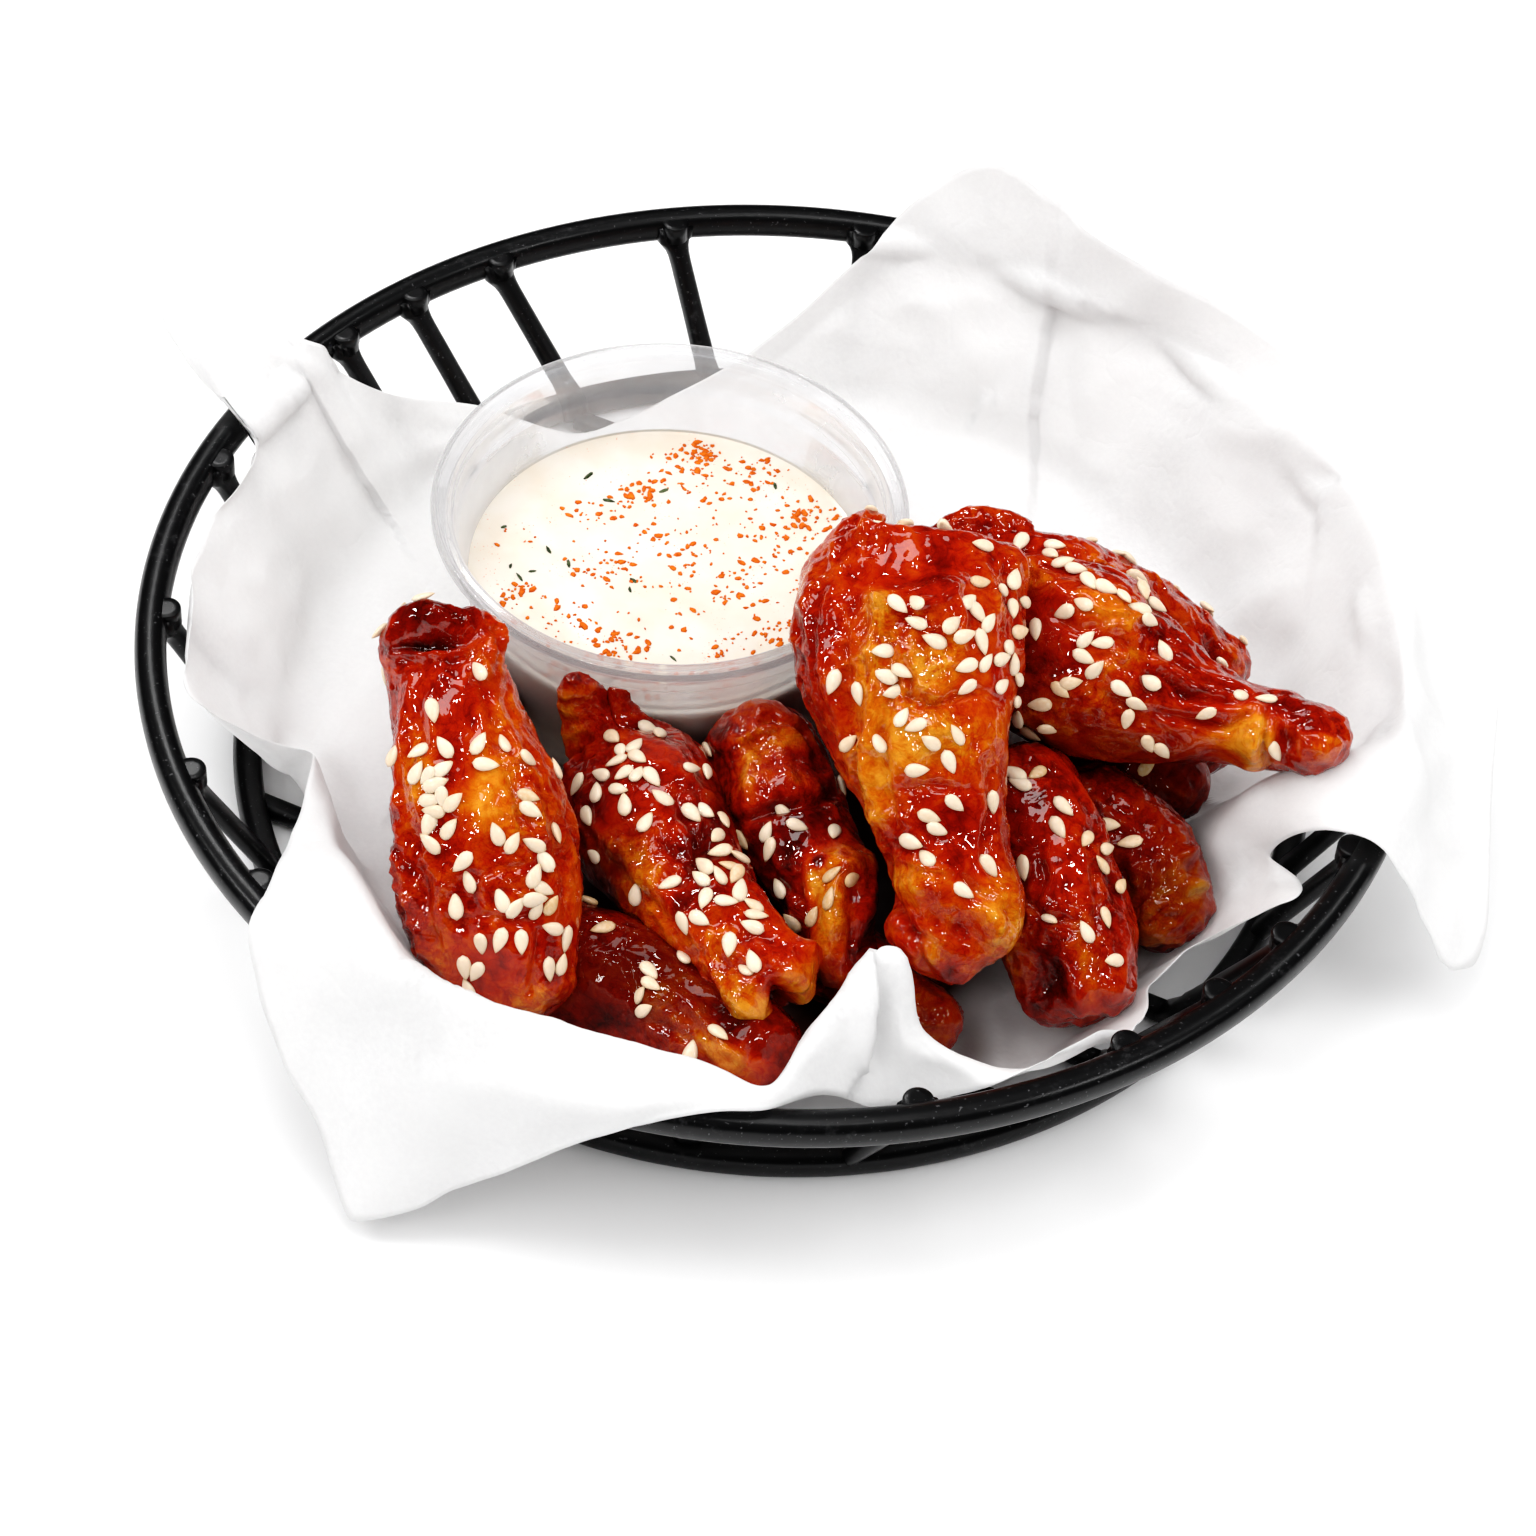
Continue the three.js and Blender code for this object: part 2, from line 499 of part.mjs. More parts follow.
// Each wing is lofted round a spine. wide and deep are its half-widths at even steps
// along the spine; ends gives how far its two ends bulge past the spine, and hollow how
// far they sink in again at the middle. A bump is [place along, angle round in degrees,
// height, length, width in degrees]; flaps are small lofts that stand off the skin.
// seeds lists patches: [place along, angle round, length, width in degrees, how many].
const WINGS = [
  {
    name: "wing_left_tall",
    spine: [[-50, -31, 50], [-45, -45, 42], [-40, -58, 32], [-36, -69, 20]],
    wide: [7.4, 9.2, 11.4, 12.2, 10],
    deep: [6.6, 8.4, 9.6, 9.8, 8],
    ends: [4.2, 6.5],
    hollow: [5.5, 0],
    bumps: [[-0.05, 20, 2, 0.1, 40], [0.5, 180, 1.4, 0.2, 30], [0.75, 0, 1.2, 0.2, 40]],
    seeds: [
      [0.3, 95, 0.09, 40, 6],
      [0.4, 120, 0.07, 25, 9],
      [0.62, 85, 0.1, 45, 8],
      [0.82, 70, 0.08, 50, 11],
    ],
  },
  {
    name: "wing_front_left",
    spine: [[-21, -31, 20], [-15, -45, 23.5], [-7, -58, 25], [2, -69, 23.5]],
    wide: [12.2, 11.4, 9, 7.4, 7.6],
    deep: [10.5, 9.6, 7.6, 6.2, 6],
    ends: [8, 3.6],
    hollow: [0, 1.5],
    bumps: [[1.02, 0, 1.8, 0.08, 40], [1.02, 180, 1.8, 0.08, 40], [0.2, 60, 1, 0.15, 50]],
    flaps: [
      {
        spine: [[-26, -26, 26], [-29, -24, 32], [-31, -24, 37]],
        wide: [5.5, 4, 1.6],
        deep: [2.4, 1.8, 1],
      },
      {
        spine: [[-20, -25, 27], [-22, -22, 31], [-23, -21, 34.5]],
        wide: [4.5, 3.4, 1.6],
        deep: [2.2, 1.6, 1],
      },
    ],
    seeds: [
      [0.08, 90, 0.08, 50, 12],
      [0.3, 60, 0.1, 40, 7],
      [0.6, 95, 0.1, 45, 12],
      [0.85, 100, 0.06, 40, 4],
    ],
  },
  {
    name: "wing_front_low",
    spine: [[-29, -60, 15.5], [-16, -67, 15.5], [-5, -74, 16], [2, -78, 16.5]],
    wide: [9, 9.6, 9, 8.4, 7.6],
    deep: [8, 8.6, 8.4, 7.8, 6.6],
    ends: [7, 5],
    hollow: [0, 0],
    bumps: [[0.9, 90, 1.2, 0.12, 50]],
    seeds: [[0.4, 90, 0.1, 30, 5], [0.75, 110, 0.08, 30, 2]],
  },
  {
    name: "wing_centre",
    spine: [[-1, -23, 21], [4, -36, 20.5], [9, -47, 19], [12.5, -57, 16.5]],
    wide: [8.6, 8.8, 7.6, 5.6, 4.4],
    deep: [8.6, 8.8, 7.4, 6, 4.8],
    ends: [7, 3],
    hollow: [0, 0],
    bumps: [[0, 90, 1.6, 0.12, 60], [0.3, 60, 1.5, 0.1, 40], [0.8, 120, 1.2, 0.1, 40]],
    seeds: [[0.45, 100, 0.12, 40, 7], [0.75, 60, 0.08, 40, 4]],
  },
  {
    name: "wing_centre_big",
    spine: [[18, -9, 51], [20, -27, 45.5], [24, -42, 38], [28, -55, 28]],
    wide: [15, 17, 13.2, 9.6, 9.8],
    deep: [10.5, 13, 11, 8.6, 8.2],
    ends: [5.5, 6.5],
    hollow: [6.5, 0],
    bumps: [
      [0.02, 175, 3.4, 0.1, 26],
      [0.2, 100, 2.2, 0.08, 16],
      [1, 30, 1.6, 0.1, 40],
      [1, 150, 1.6, 0.1, 40],
    ],
    flaps: [
      {
        spine: [[12, -11, 51], [9, -9, 53.5], [12, -6, 55.5]],
        wide: [5, 3.8, 2],
        deep: [3, 2.4, 1.4],
      },
    ],
    seeds: [
      [0.12, 75, 0.06, 20, 6],
      [0.18, 45, 0.08, 14, 10],
      [0.28, 90, 0.1, 40, 9],
      [0.48, 80, 0.1, 35, 8],
      [0.7, 70, 0.08, 40, 5],
    ],
  },
  {
    name: "wing_right_long",
    spine: [[36, -5, 38], [50, -14, 37], [65, -19, 35.5], [80, -21, 36]],
    wide: [12.5, 14.5, 10.5, 6.4, 6],
    deep: [10.5, 11.5, 9, 6.2, 5.8],
    ends: [8, 8],
    hollow: [0, 1.2],
    bumps: [[0.3, 120, 1.6, 0.15, 40], [0.95, 200, 1.2, 0.08, 50], [1.05, 60, 1.4, 0.1, 50]],
    seeds: [
      [0.08, 130, 0.08, 30, 8],
      [0.3, 150, 0.1, 20, 8],
      [0.35, 90, 0.1, 35, 8],
      [0.65, 100, 0.1, 40, 5],
    ],
  },
  {
    name: "wing_back_right",
    spine: [[28, 1, 43.5], [42, 0, 40], [56, 2, 32], [69, 2, 23]],
    wide: [6.6, 7.6, 8, 7, 5.6],
    deep: [6, 7.2, 7.6, 6.6, 5.4],
    ends: [6, 5],
    hollow: [3, 0],
    bumps: [[0.35, 150, 1.4, 0.12, 40]],
    flaps: [
      {
        spine: [[23, 1, 46], [29, 3, 47.5], [36, 2.5, 47]],
        wide: [3.8, 4.2, 3.8],
        deep: [2, 1.8, 1.6],
      },
    ],
    seeds: [[0.35, 120, 0.15, 40, 6]],
  },
  {
    name: "wing_front_right",
    spine: [[38, -29, 25], [43, -40, 22], [46, -50, 19], [48.5, -59, 15]],
    wide: [8.8, 9.2, 8.8, 9.4, 8.2],
    deep: [8, 8.6, 8.4, 8.2, 7.4],
    ends: [7, 5.5],
    hollow: [0, 2.5],
    bumps: [[0.05, 20, 1.6, 0.15, 50], [0.6, 200, 1, 0.15, 40]],
    seeds: [[0.1, 90, 0.1, 40, 6], [0.55, 60, 0.12, 40, 5]],
  },
  {
    name: "wing_right_low",
    spine: [[50, -24, 17], [55, -30, 16], [60, -36, 14.5], [63, -41, 13]],
    wide: [8.2, 9, 9, 8, 6.4],
    deep: [7.6, 8.4, 8.2, 7.4, 6],
    ends: [6, 4.5],
    hollow: [0, 0],
    bumps: [[0.7, 20, 2, 0.12, 25], [0.95, 60, 1.8, 0.1, 30], [0.9, 330, 1.6, 0.1, 25]],
    seeds: [[0.4, 80, 0.2, 50, 6]],
  },
  {
    name: "wing_right_under",
    spine: [[49, -8, 17], [57, -13, 17], [64, -17, 16]],
    wide: [7.4, 8, 7.8, 6.8, 5.6],
    deep: [7.2, 7.8, 7.4, 6.4, 5.4],
    ends: [6, 4],
    hollow: [0, 0],
    bumps: [[0.6, 90, 1.2, 0.15, 50]],
    seeds: [[0.7, 60, 0.1, 30, 1]],
  },
  {
    name: "wing_front_under",
    spine: [[9, -52, 11.5], [18, -57, 11.5], [27, -64, 11.5]],
    wide: [6, 6.4, 6.2, 5.6, 4.8],
    deep: [5.8, 6.2, 6, 5.4, 4.6],
    ends: [5, 4],
    hollow: [0, 0],
    bumps: [[0.5, 90, 1, 0.2, 60]],
    seeds: [],
  },
  {
    name: "wing_left_bottom",
    spine: [[-51, -4, 13], [-49, -18, 18], [-45, -33, 20], [-39, -45, 18]],
    wide: [7.4, 8.6, 8.8, 8.2, 7],
    deep: [7, 8.2, 8.8, 8, 6.6],
    ends: [6, 5],
    hollow: [0, 0],
    seeds: [],
  },
  {
    name: "wing_centre_bottom",
    spine: [[22, 9, 14], [22, -4, 23], [23, -19, 27], [26, -33, 21]],
    wide: [8.6, 10, 10.6, 9.6, 7.6],
    deep: [8, 9.6, 10, 9, 7],
    ends: [6, 5],
    hollow: [0, 0],
    seeds: [],
  },
  {
    name: "wing_right_bottom",
    spine: [[35, 13, 13], [44, 7, 20], [56, 2, 18], [69, -4, 14]],
    wide: [7.4, 8.8, 9, 8.2, 6.4],
    deep: [7, 8.4, 8.6, 7.6, 6],
    ends: [6, 5],
    hollow: [0, 0],
    seeds: [],
  },
];

const AROUND = 12;
const BODY_STEPS = 7;
const PLAIN_AROUND = 8; // for the wings under the heap, which carry no seeds
const PLAIN_STEPS = 5;
const CAP_STEPS = [0.6];
const TOWARDS_VIEW = new THREE.Vector3(0, -0.67, 0.74); // the side that a wing shows

// A value from an evenly spaced list, smoothly between its entries.
function along(values, place) {
  const last = values.length - 1;
  const x = Math.min(Math.max(place, 0), 1) * last;
  const i = Math.min(Math.floor(x), last - 1);
  const at = (k) => values[Math.min(Math.max(k, 0), last)];
  return smooth(at(i - 1), at(i), at(i + 1), at(i + 2), x - i);
}

function spinePoint(spine, place) {
  return new THREE.Vector3(...[0, 1, 2].map((k) => along(spine.map((p) => p[k]), place)));
}

function angleBetween(a, b) {
  return Math.abs(((((a - b) % 360) + 540) % 360) - 180);
}

// A point of a wing's skin. place runs 0 to 1 along the spine; cap runs 0 to 1 over the
// start's bulge when negative and over the end's when positive; angle 90 faces the view.
function skinPoint(loft, place, cap, angle, grow = 0) {
  const step = 0.01;
  const centre = spinePoint(loft.spine, place);
  const ahead = spinePoint(loft.spine, Math.min(place + step, 1));
  const behind = spinePoint(loft.spine, Math.max(place - step, 0));
  const tangent = ahead.sub(behind).normalize();
  const side = tangent.clone().cross(TOWARDS_VIEW).normalize();
  const out = side.clone().cross(tangent);
  const end = cap > 0 ? 1 : 0;
  const share = Math.abs(cap);
  const round = Math.cos((share * Math.PI) / 2);
  const ends = loft.ends ?? [1.2, 1.2];
  const hollow = loft.hollow ?? [0, 0];
  const bulge = (ends[end] + grow) * Math.sin((share * Math.PI) / 2) - hollow[end] * (1 - round) ** 1.5;
  centre.addScaledVector(tangent, cap === 0 ? 0 : Math.sign(cap) * bulge);
  const a = angle * degrees;
  const wide = along(loft.wide, place) * Math.cos(a);
  const deep = along(loft.deep, place) * Math.sin(a);
  const radial = side.multiplyScalar(wide).addScaledVector(out, deep);
  const along01 = place + (cap * ends[end]) / 60;
  let bump = grow;
  for (const [u, around, height, length, width] of loft.bumps ?? []) {
    const du = (along01 - u) / length;
    const da = angleBetween(angle, around) / width;
    bump += height * Math.exp(-du * du - da * da);
  }
  radial.addScaledVector(radial.clone().normalize(), bump).multiplyScalar(round);
  return settled(centre.add(radial), grow);
}

// Pressed flat where it would sink into the floor or the wall of the paper.
function settled(point, grow) {
  point.z = Math.max(point.z, WING_FLOOR - grow);
  const radius = Math.hypot(point.x, point.y);
  const limit = WALL_RADIUS + (point.z - PAPER_FLOOR) * WALL_LEAN + grow;
  if (radius > limit && point.z < RIM_HEIGHT) {
    point.x *= limit / radius;
    point.y *= limit / radius;
  }
  return point;
}

function loftSolid(loft, grow, around, bodySteps) {
  const places = [];
  for (const cap of [...CAP_STEPS].reverse()) places.push([0, -cap]);
  for (let i = 0; i <= bodySteps; i++) places.push([i / bodySteps, 0]);
  for (const cap of CAP_STEPS) places.push([1, cap]);
  const rings = places.map(([place, cap]) => {
    const points = [];
    for (let j = 0; j < around; j++) points.push(skinPoint(loft, place, cap, (j * 360) / around, grow));
    return points;
  });
  return solidOf(skin(rings, skinPoint(loft, 0, -1, 0, grow), skinPoint(loft, 1, 1, 0, grow)));
}

function wingSolid(wing, grow) {
  const plain = wing.seeds.length === 0;
  const body = plain
    ? loftSolid(wing, grow, PLAIN_AROUND, PLAIN_STEPS)
    : loftSolid(wing, grow, AROUND, BODY_STEPS);
  const flaps = (wing.flaps ?? []).map((flap) => loftSolid(flap, grow, 8, 4));
  return union([body, ...flaps]);
}

// ---------------------------------------------------------------- sesame seeds

// A seed: a flat teardrop of five sides round its length.
const SEED_SIDES = 5;
function seedSolid(at, normal, spin) {
  const across = new THREE.Vector3(1, 0, 0).cross(normal).normalize();
  const lengthways = across.clone().cross(normal).applyAxisAngle(normal, spin);
  const sideways = normal.clone().cross(lengthways);
  const points = [];
  for (let i = 0; i < SEED_SIDES; i++) {
    const a = ((i + 0.5) / SEED_SIDES) * 2 * Math.PI;
    points.push(
      at
        .clone()
        .addScaledVector(lengthways, -0.12 * SEED_LENGTH)
        .addScaledVector(sideways, (SEED_WIDTH / 2) * Math.cos(a))
        .addScaledVector(normal, (SEED_THICKNESS / 2) * Math.sin(a)),
    );
  }
  const tip = at.clone().addScaledVector(lengthways, SEED_LENGTH / 2);
  const tail = at.clone().addScaledVector(lengthways, -SEED_LENGTH / 2);
  return solidOf(skin([points], tail, tip));
}

// Places of the seeds on one wing: a seeded draw in each of its patches.
function seedPlaces(wing, random) {
  const places = [];
  for (const [place, angle, length, width, count] of wing.seeds) {
    for (let i = 0; i < count; i++) {
      const u = place + (random() + random() - 1) * length * 1.3;
      const v = angle + (random() + random() - 1) * width * 1.3;
      places.push([Math.min(Math.max(u, 0), 1), v, random() * Math.PI]);
    }
  }
  return places;
}

function skinNormal(wing, place, angle) {
  const du = skinPoint(wing, Math.min(place + 0.02, 1), 0, angle)
    .sub(skinPoint(wing, Math.max(place - 0.02, 0), 0, angle));
  const dv = skinPoint(wing, place, 0, angle + 4).sub(skinPoint(wing, place, 0, angle - 4));
  return dv.cross(du).normalize();
}

function withSeeds(wing, solid, keepClear, random) {
  let seeded = solid;
  const kept = [];
  for (const [place, angle, spin] of seedPlaces(wing, random)) {
    const at = skinPoint(wing, place, 0, angle);
    const normal = skinNormal(wing, place, angle);
    const seed = seedSolid(at.addScaledVector(normal, 0.25), normal, spin);
    const crowded = kept.some((other) => other.distanceTo(at) < SEED_WIDTH * 0.9);
    if (crowded || touches(seed, keepClear) || seed.intersect(solid).volume() < 0.4) continue;
    kept.push(at);
    seeded = seeded.add(seed);
  }
  return seeded;
}

// ---------------------------------------------------------------- the whole serving

const group = new THREE.Group();

function place(name, solid, material) {
  const mesh = new THREE.Mesh(geometryOf(solid), material);
  mesh.name = name;
  group.add(mesh);
}

place("basket", basket(), black);
place("paper_liner", liner(PAPER_THICKNESS), paper);
place("dip_cup", cup(), clear);
place("ranch_dip", dip(), ranch);

// Wings higher in the heap keep their form; each lower one is cut clear of them.
const HEAP_ORDER = [4, 5, 0, 1, 6, 7, 3, 2, 8, 9, 10, 11, 12, 13];
const paperSpace = liner(PAPER_THICKNESS + 2 * GAP);
const spaces = [paperSpace, cupSpace()];
const bodies = new Map();
for (const i of HEAP_ORDER) {
  const cut = spaces.reduce((solid, space) => solid.subtract(space), wingSolid(WINGS[i], 0));
  bodies.set(i, largest(cut));
  spaces.push(wingSolid(WINGS[i], GAP));
}

const random = seededRandom(20);
WINGS.forEach((wing, i) => {
  const others = [...bodies].filter(([k]) => k !== i).map(([, solid]) => solid);
  place(wing.name, withSeeds(wing, bodies.get(i), [paperSpace, cupSpace(), ...others], random), glaze);
});

export default group;
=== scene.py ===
# A serving of glazed chicken wings in a lined rib basket, with a cup of white dip:
# the looks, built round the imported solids. Lengths in this script are millimetres in
# the part's own frame, and MM turns them into Blender's metres.

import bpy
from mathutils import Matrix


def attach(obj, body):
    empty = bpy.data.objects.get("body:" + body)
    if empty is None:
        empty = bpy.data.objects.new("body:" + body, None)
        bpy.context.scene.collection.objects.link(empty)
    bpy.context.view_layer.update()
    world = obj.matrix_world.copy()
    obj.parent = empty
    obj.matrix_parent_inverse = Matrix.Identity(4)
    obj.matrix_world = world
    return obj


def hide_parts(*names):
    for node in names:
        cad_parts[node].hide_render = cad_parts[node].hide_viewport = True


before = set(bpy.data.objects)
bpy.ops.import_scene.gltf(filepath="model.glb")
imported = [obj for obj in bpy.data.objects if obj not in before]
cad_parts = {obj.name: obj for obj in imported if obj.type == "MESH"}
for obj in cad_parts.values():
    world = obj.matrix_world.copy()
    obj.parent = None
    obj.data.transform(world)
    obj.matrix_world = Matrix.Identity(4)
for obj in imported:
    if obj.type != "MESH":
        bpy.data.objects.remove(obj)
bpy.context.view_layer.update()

import math

import bpy
import numpy as np
from mathutils import Matrix, Vector
from mathutils.bvhtree import BVHTree

MM = 0.001

# ------------------------------------------------------------ driving dimensions

RIM_RADIUS = 98.5  # centreline of the basket's rim
RIM_TUBE = 2.6
RIM_HEIGHT = 28.7
BASE_RADIUS = 85.1  # centreline of the ring that the basket stands on
BASE_TUBE = 2.3
RIB_WIDTH = 3.4
RIB_DEPTH = 3.0
RIB_FLOOR = 2.2
KNOB_TOP = 30.8
KNOB_BOTTOM = 27.5
KNOB_RADIUS = 2.3
KNOB_INSET = 2.3  # from the rim's centreline
HUB_RADIUS = 15.0
HUB_THICKNESS = 3.2

PAPER_THICKNESS = 0.12
PAPER_FLOOR = 4.35
RIM_CLEARANCE = 3.2  # the sheet's distance from the rim's centreline where it rests on it

CUP_AT = np.array([-19.0, 11.0, 0.0])
CUP_FLOOR = 5.0
CUP_HEIGHT = 37.4
CUP_WALL = 0.9
CUP_FOOT = 28.6
CUP_SHOULDER = 33.8
SHOULDER_HEIGHT = 29.5
CUP_MOUTH = 35.3
CUP_FLANGE = 37.6
DIP_LEVEL = 27.5
CUP_BASE = CUP_AT + [0, 0, CUP_FLOOR]
ABOVE_CUP = 60

SEED_LENGTH = 3.95
SEED_WIDTH = 2.15
SEED_THICKNESS = 1.15

TOWARDS_VIEW = np.array([0.0, -0.67, 0.74])  # the side that a wing shows

CAMERA_AT = np.array([-0.52, -392.42, 428.88])
CAMERA_ELEVATION = 47.94  # degrees that the camera looks down
CAMERA_ROLL = 4.5
PICTURE = 1536  # width and height of the picture frame in pixels
FOCAL_PIXELS = 3553
SENSOR_WIDTH = 36
PIXELS_PER_MM = 6.7  # near the wings

# ------------------------------------------------------------ small tools


def polar(azimuth, radius, z):
    a = math.radians(azimuth)
    return np.array([radius * math.cos(a), radius * math.sin(a), z])


def unit(v):
    v = np.asarray(v, float)
    return v / (np.linalg.norm(v, axis=-1, keepdims=True) + 1e-12)


def seeded_random(seed):
    """A seeded draw between 0 and 1."""
    state = [seed & 0xFFFFFFFF]

    def draw():
        state[0] = (state[0] + 0x6D2B79F5) & 0xFFFFFFFF
        t = state[0]
        t = ((t ^ (t >> 15)) * (t | 1)) & 0xFFFFFFFF
        t ^= (t + ((t ^ (t >> 7)) * (t | 61) & 0xFFFFFFFF)) & 0xFFFFFFFF
        return ((t ^ (t >> 14)) & 0xFFFFFFFF) / 4294967296

    return draw


def hashed(x, y, z, seed):
    h = (x * 374761393 + y * 668265263 + z * 1442695041 + seed * 1274126177) & 0xFFFFFFFF
    h = ((h ^ (h >> 13)) * 1274126177) & 0xFFFFFFFF
    return h ^ (h >> 16)


def noise(points, size, seed):
    """Smooth noise from about -1 to 1 whose features are size millimetres across."""
    q = points / size
    cell = np.floor(q).astype(np.int64)
    f = q - cell
    w = f * f * f * (f * (f * 6 - 15) + 10)
    total = np.zeros(len(points))
    for corner in range(8):
        d = np.array([corner & 1, (corner >> 1) & 1, corner >> 2])
        h = hashed(*(cell + d).T, seed)
        turn = (h & 1023) / 1024 * 2 * math.pi
        rise = ((h >> 10) & 1023) / 511.5 - 1
        flat = np.sqrt(np.maximum(1 - rise * rise, 0))
        away = f - d
        slope = away[:, 0] * np.cos(turn) * flat + away[:, 1] * np.sin(turn) * flat + away[:, 2] * rise
        total += slope * np.prod(np.where(d == 1, w, 1 - w), axis=1)
    return total * 1.6


def smooth(a, b, c, d, t):
    """A value between b and c on the smooth curve through a, b, c and d."""
    slope_in = (c - a) / 2
    slope_out = (d - b) / 2
    rise = c - b
    squared = 3 * rise - 2 * slope_in - slope_out
    return b + t * (slope_in + t * (squared + t * (slope_in + slope_out - 2 * rise)))


def along(values, place):
    """Values on the smooth curve through an evenly spaced list, at places from 0 to 1."""
    values = np.asarray(values, float)
    last = len(values) - 1
    x = np.clip(np.asarray(place, float), 0, 1) * last
    i = np.minimum(np.floor(x).astype(int), last - 1)
    t = (x - i).reshape(x.shape + (1,) * (values.ndim - 1))
    at = [values[np.clip(i + k, 0, last)] for k in (-1, 0, 1, 2)]
    return smooth(*at, t)


def circle(count, offset=0.0, square=2.0):
    """(cosines, sines) of even angles. A square above 2 swells the circle towards a square."""
    a = (np.arange(count) + offset) / count * 2 * math.pi
    return [np.sign(v) * np.abs(v) ** (2 / square) for v in (np.cos(a), np.sin(a))]


def disc(count):
    """Points of a flat circle of radius 1."""
    c, s = circle(count)
    return np.stack([c, s, 0 * c], axis=1)


def linked(name, data):
    """A new object in the scene."""
    obj = bpy.data.objects.new(name, data)
    bpy.context.scene.collection.objects.link(obj)
    return obj


def mesh_object(name, points, faces, material, smooth_shading=True):
    mesh = bpy.data.meshes.new(name)
    mesh.from_pydata((np.asarray(points) * MM).tolist(), [], [list(map(int, f)) for f in faces])
    mesh.materials.append(material)
    mesh.validate()
    mesh.update()
    if smooth_shading:
        mesh.polygons.foreach_set("use_smooth", [True] * len(mesh.polygons))
    return linked(name, mesh)


def mesh_parts(mesh):
    """(points in metres, faces) of a mesh."""
    points = np.zeros(len(mesh.vertices) * 3)
    mesh.vertices.foreach_get("co", points)
    return points.reshape(-1, 3), [tuple(p.vertices) for p in mesh.polygons]


def bvh_of(obj):
    points, faces = mesh_parts(obj.data)
    return BVHTree.FromPolygons(points.tolist(), faces)


def keep_values(obj, **values):
    """Stores values at a mesh's points, where its material finds them by name."""
    for name, value in values.items():
        obj.data.attributes.new(name, "FLOAT", "POINT").data.foreach_set("value", value)


def grid_faces(rows, columns, closed=True, loop=False):
    """Quads over rows of points. closed joins the ends of each row, loop the last row to the first."""
    faces = []
    for i in range(rows if loop else rows - 1):
        row, next_row = i * columns, (i + 1) % rows * columns
        for j in range(columns if closed else columns - 1):
            k = (j + 1) % columns
            faces.append((row + j, row + k, next_row + k, next_row + j))
    return faces


def turned(radii, heights, steps):
    """(points, faces) of a closed outline turned about the z axis."""
    rings = []
    for i in range(steps):
        t = i / steps * 2 * math.pi
        rings.append(np.stack([radii * math.cos(t), radii * math.sin(t), heights], axis=1))
    return np.concatenate(rings), grid_faces(steps, len(radii), loop=True)


def capped(rings, start_pole, end_pole):
    """(points, faces) of a closed skin over rings of points with a pole at each end."""
    around = len(rings[0])
    points = np.concatenate([np.concatenate(rings), [start_pole, end_pole]])
    first = len(rings) * around
    faces = grid_faces(len(rings), around)
    last = (len(rings) - 1) * around
    for j in range(around):
        k = (j + 1) % around
        faces.append((first, k, j))
        faces.append((first + 1, last + j, last + k))
    return points, faces


def joined(pieces):
    """One (points, faces) from several."""
    points, faces, count = [], [], 0
    for p, f in pieces:
        points.append(p)
        faces += [tuple(v + count for v in face) for face in f]
        count += len(p)
    return np.concatenate(points), faces


def dress(obj, slot, *nodes):
    """The piece rides on the serving and stands for its solids; its slot is not used."""
    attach(obj, "root")
    if nodes:
        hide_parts(*nodes)
    return obj


# The picture frame: places in it are in pixels, x to the right and y down.


def camera_axes():
    """Unit vectors of the camera: right, up and back towards the camera."""
    e, roll = math.radians(CAMERA_ELEVATION), math.radians(CAMERA_ROLL)
    back = np.array([0, -math.cos(e), math.sin(e)])
    right, up = np.array([1.0, 0, 0]), np.array([0, math.sin(e), math.cos(e)])
    c, s = math.cos(roll), math.sin(roll)
    return right * c + up * s, up * c - right * s, back


def in_picture(points):
    """Where points in millimetres fall in the picture frame."""
    right, up, back = camera_axes()
    off = points - CAMERA_AT
    deep = -(off @ back)
    x = PICTURE / 2 + FOCAL_PIXELS * (off @ right) / deep
    y = PICTURE / 2 - FOCAL_PIXELS * (off @ up) / deep
    return np.stack([x, y], axis=-1)


def sight_line(x, y):
    """The direction from the camera through a place in the picture frame."""
    right, up, back = camera_axes()
    return unit(right * (x - PICTURE / 2) - up * (y - PICTURE / 2) - back * FOCAL_PIXELS)


def nudged(points, nudges):
    """Points moved within the picture frame: (x, y, reach, right by, down by) in pixels."""
    right, up, _ = camera_axes()
    places, moved = in_picture(points), np.zeros_like(points)
    for x, y, reach, right_by, down_by in nudges:
        weight = patch_weight(places, x, y, reach, reach)
        moved += weight[:, None] * (right * right_by - up * down_by) / PIXELS_PER_MM
    return points + moved


def patch_weight(places, x, y, wide, high, turn=0.0):
    """A soft oval patch in the picture frame, turned anticlockwise by turn degrees."""
    a = math.radians(turn)
    dx, dy = places[:, 0] - x, -(places[:, 1] - y)
    u = (dx * math.cos(a) + dy * math.sin(a)) / wide
    v = (dy * math.cos(a) - dx * math.sin(a)) / high
    return np.exp(-u * u - v * v)


def off_line(places, line):
    """Each place's distance, side and share along, for each run of a line in the picture frame."""
    line = np.array(line, float)
    runs = np.linalg.norm(np.diff(line, axis=0), axis=1)
    before = 0.0
    for start, end, run in zip(line[:-1], line[1:], runs):
        way = (end - start) / run
        off = places - start
        t = np.clip(off @ way, 0, run)
        distance = np.linalg.norm(off - t[:, None] * way, axis=1)
        side = np.sign(way[0] * off[:, 1] - way[1] * off[:, 0])
        yield distance, side, (before + t) / runs.sum()
        before += run


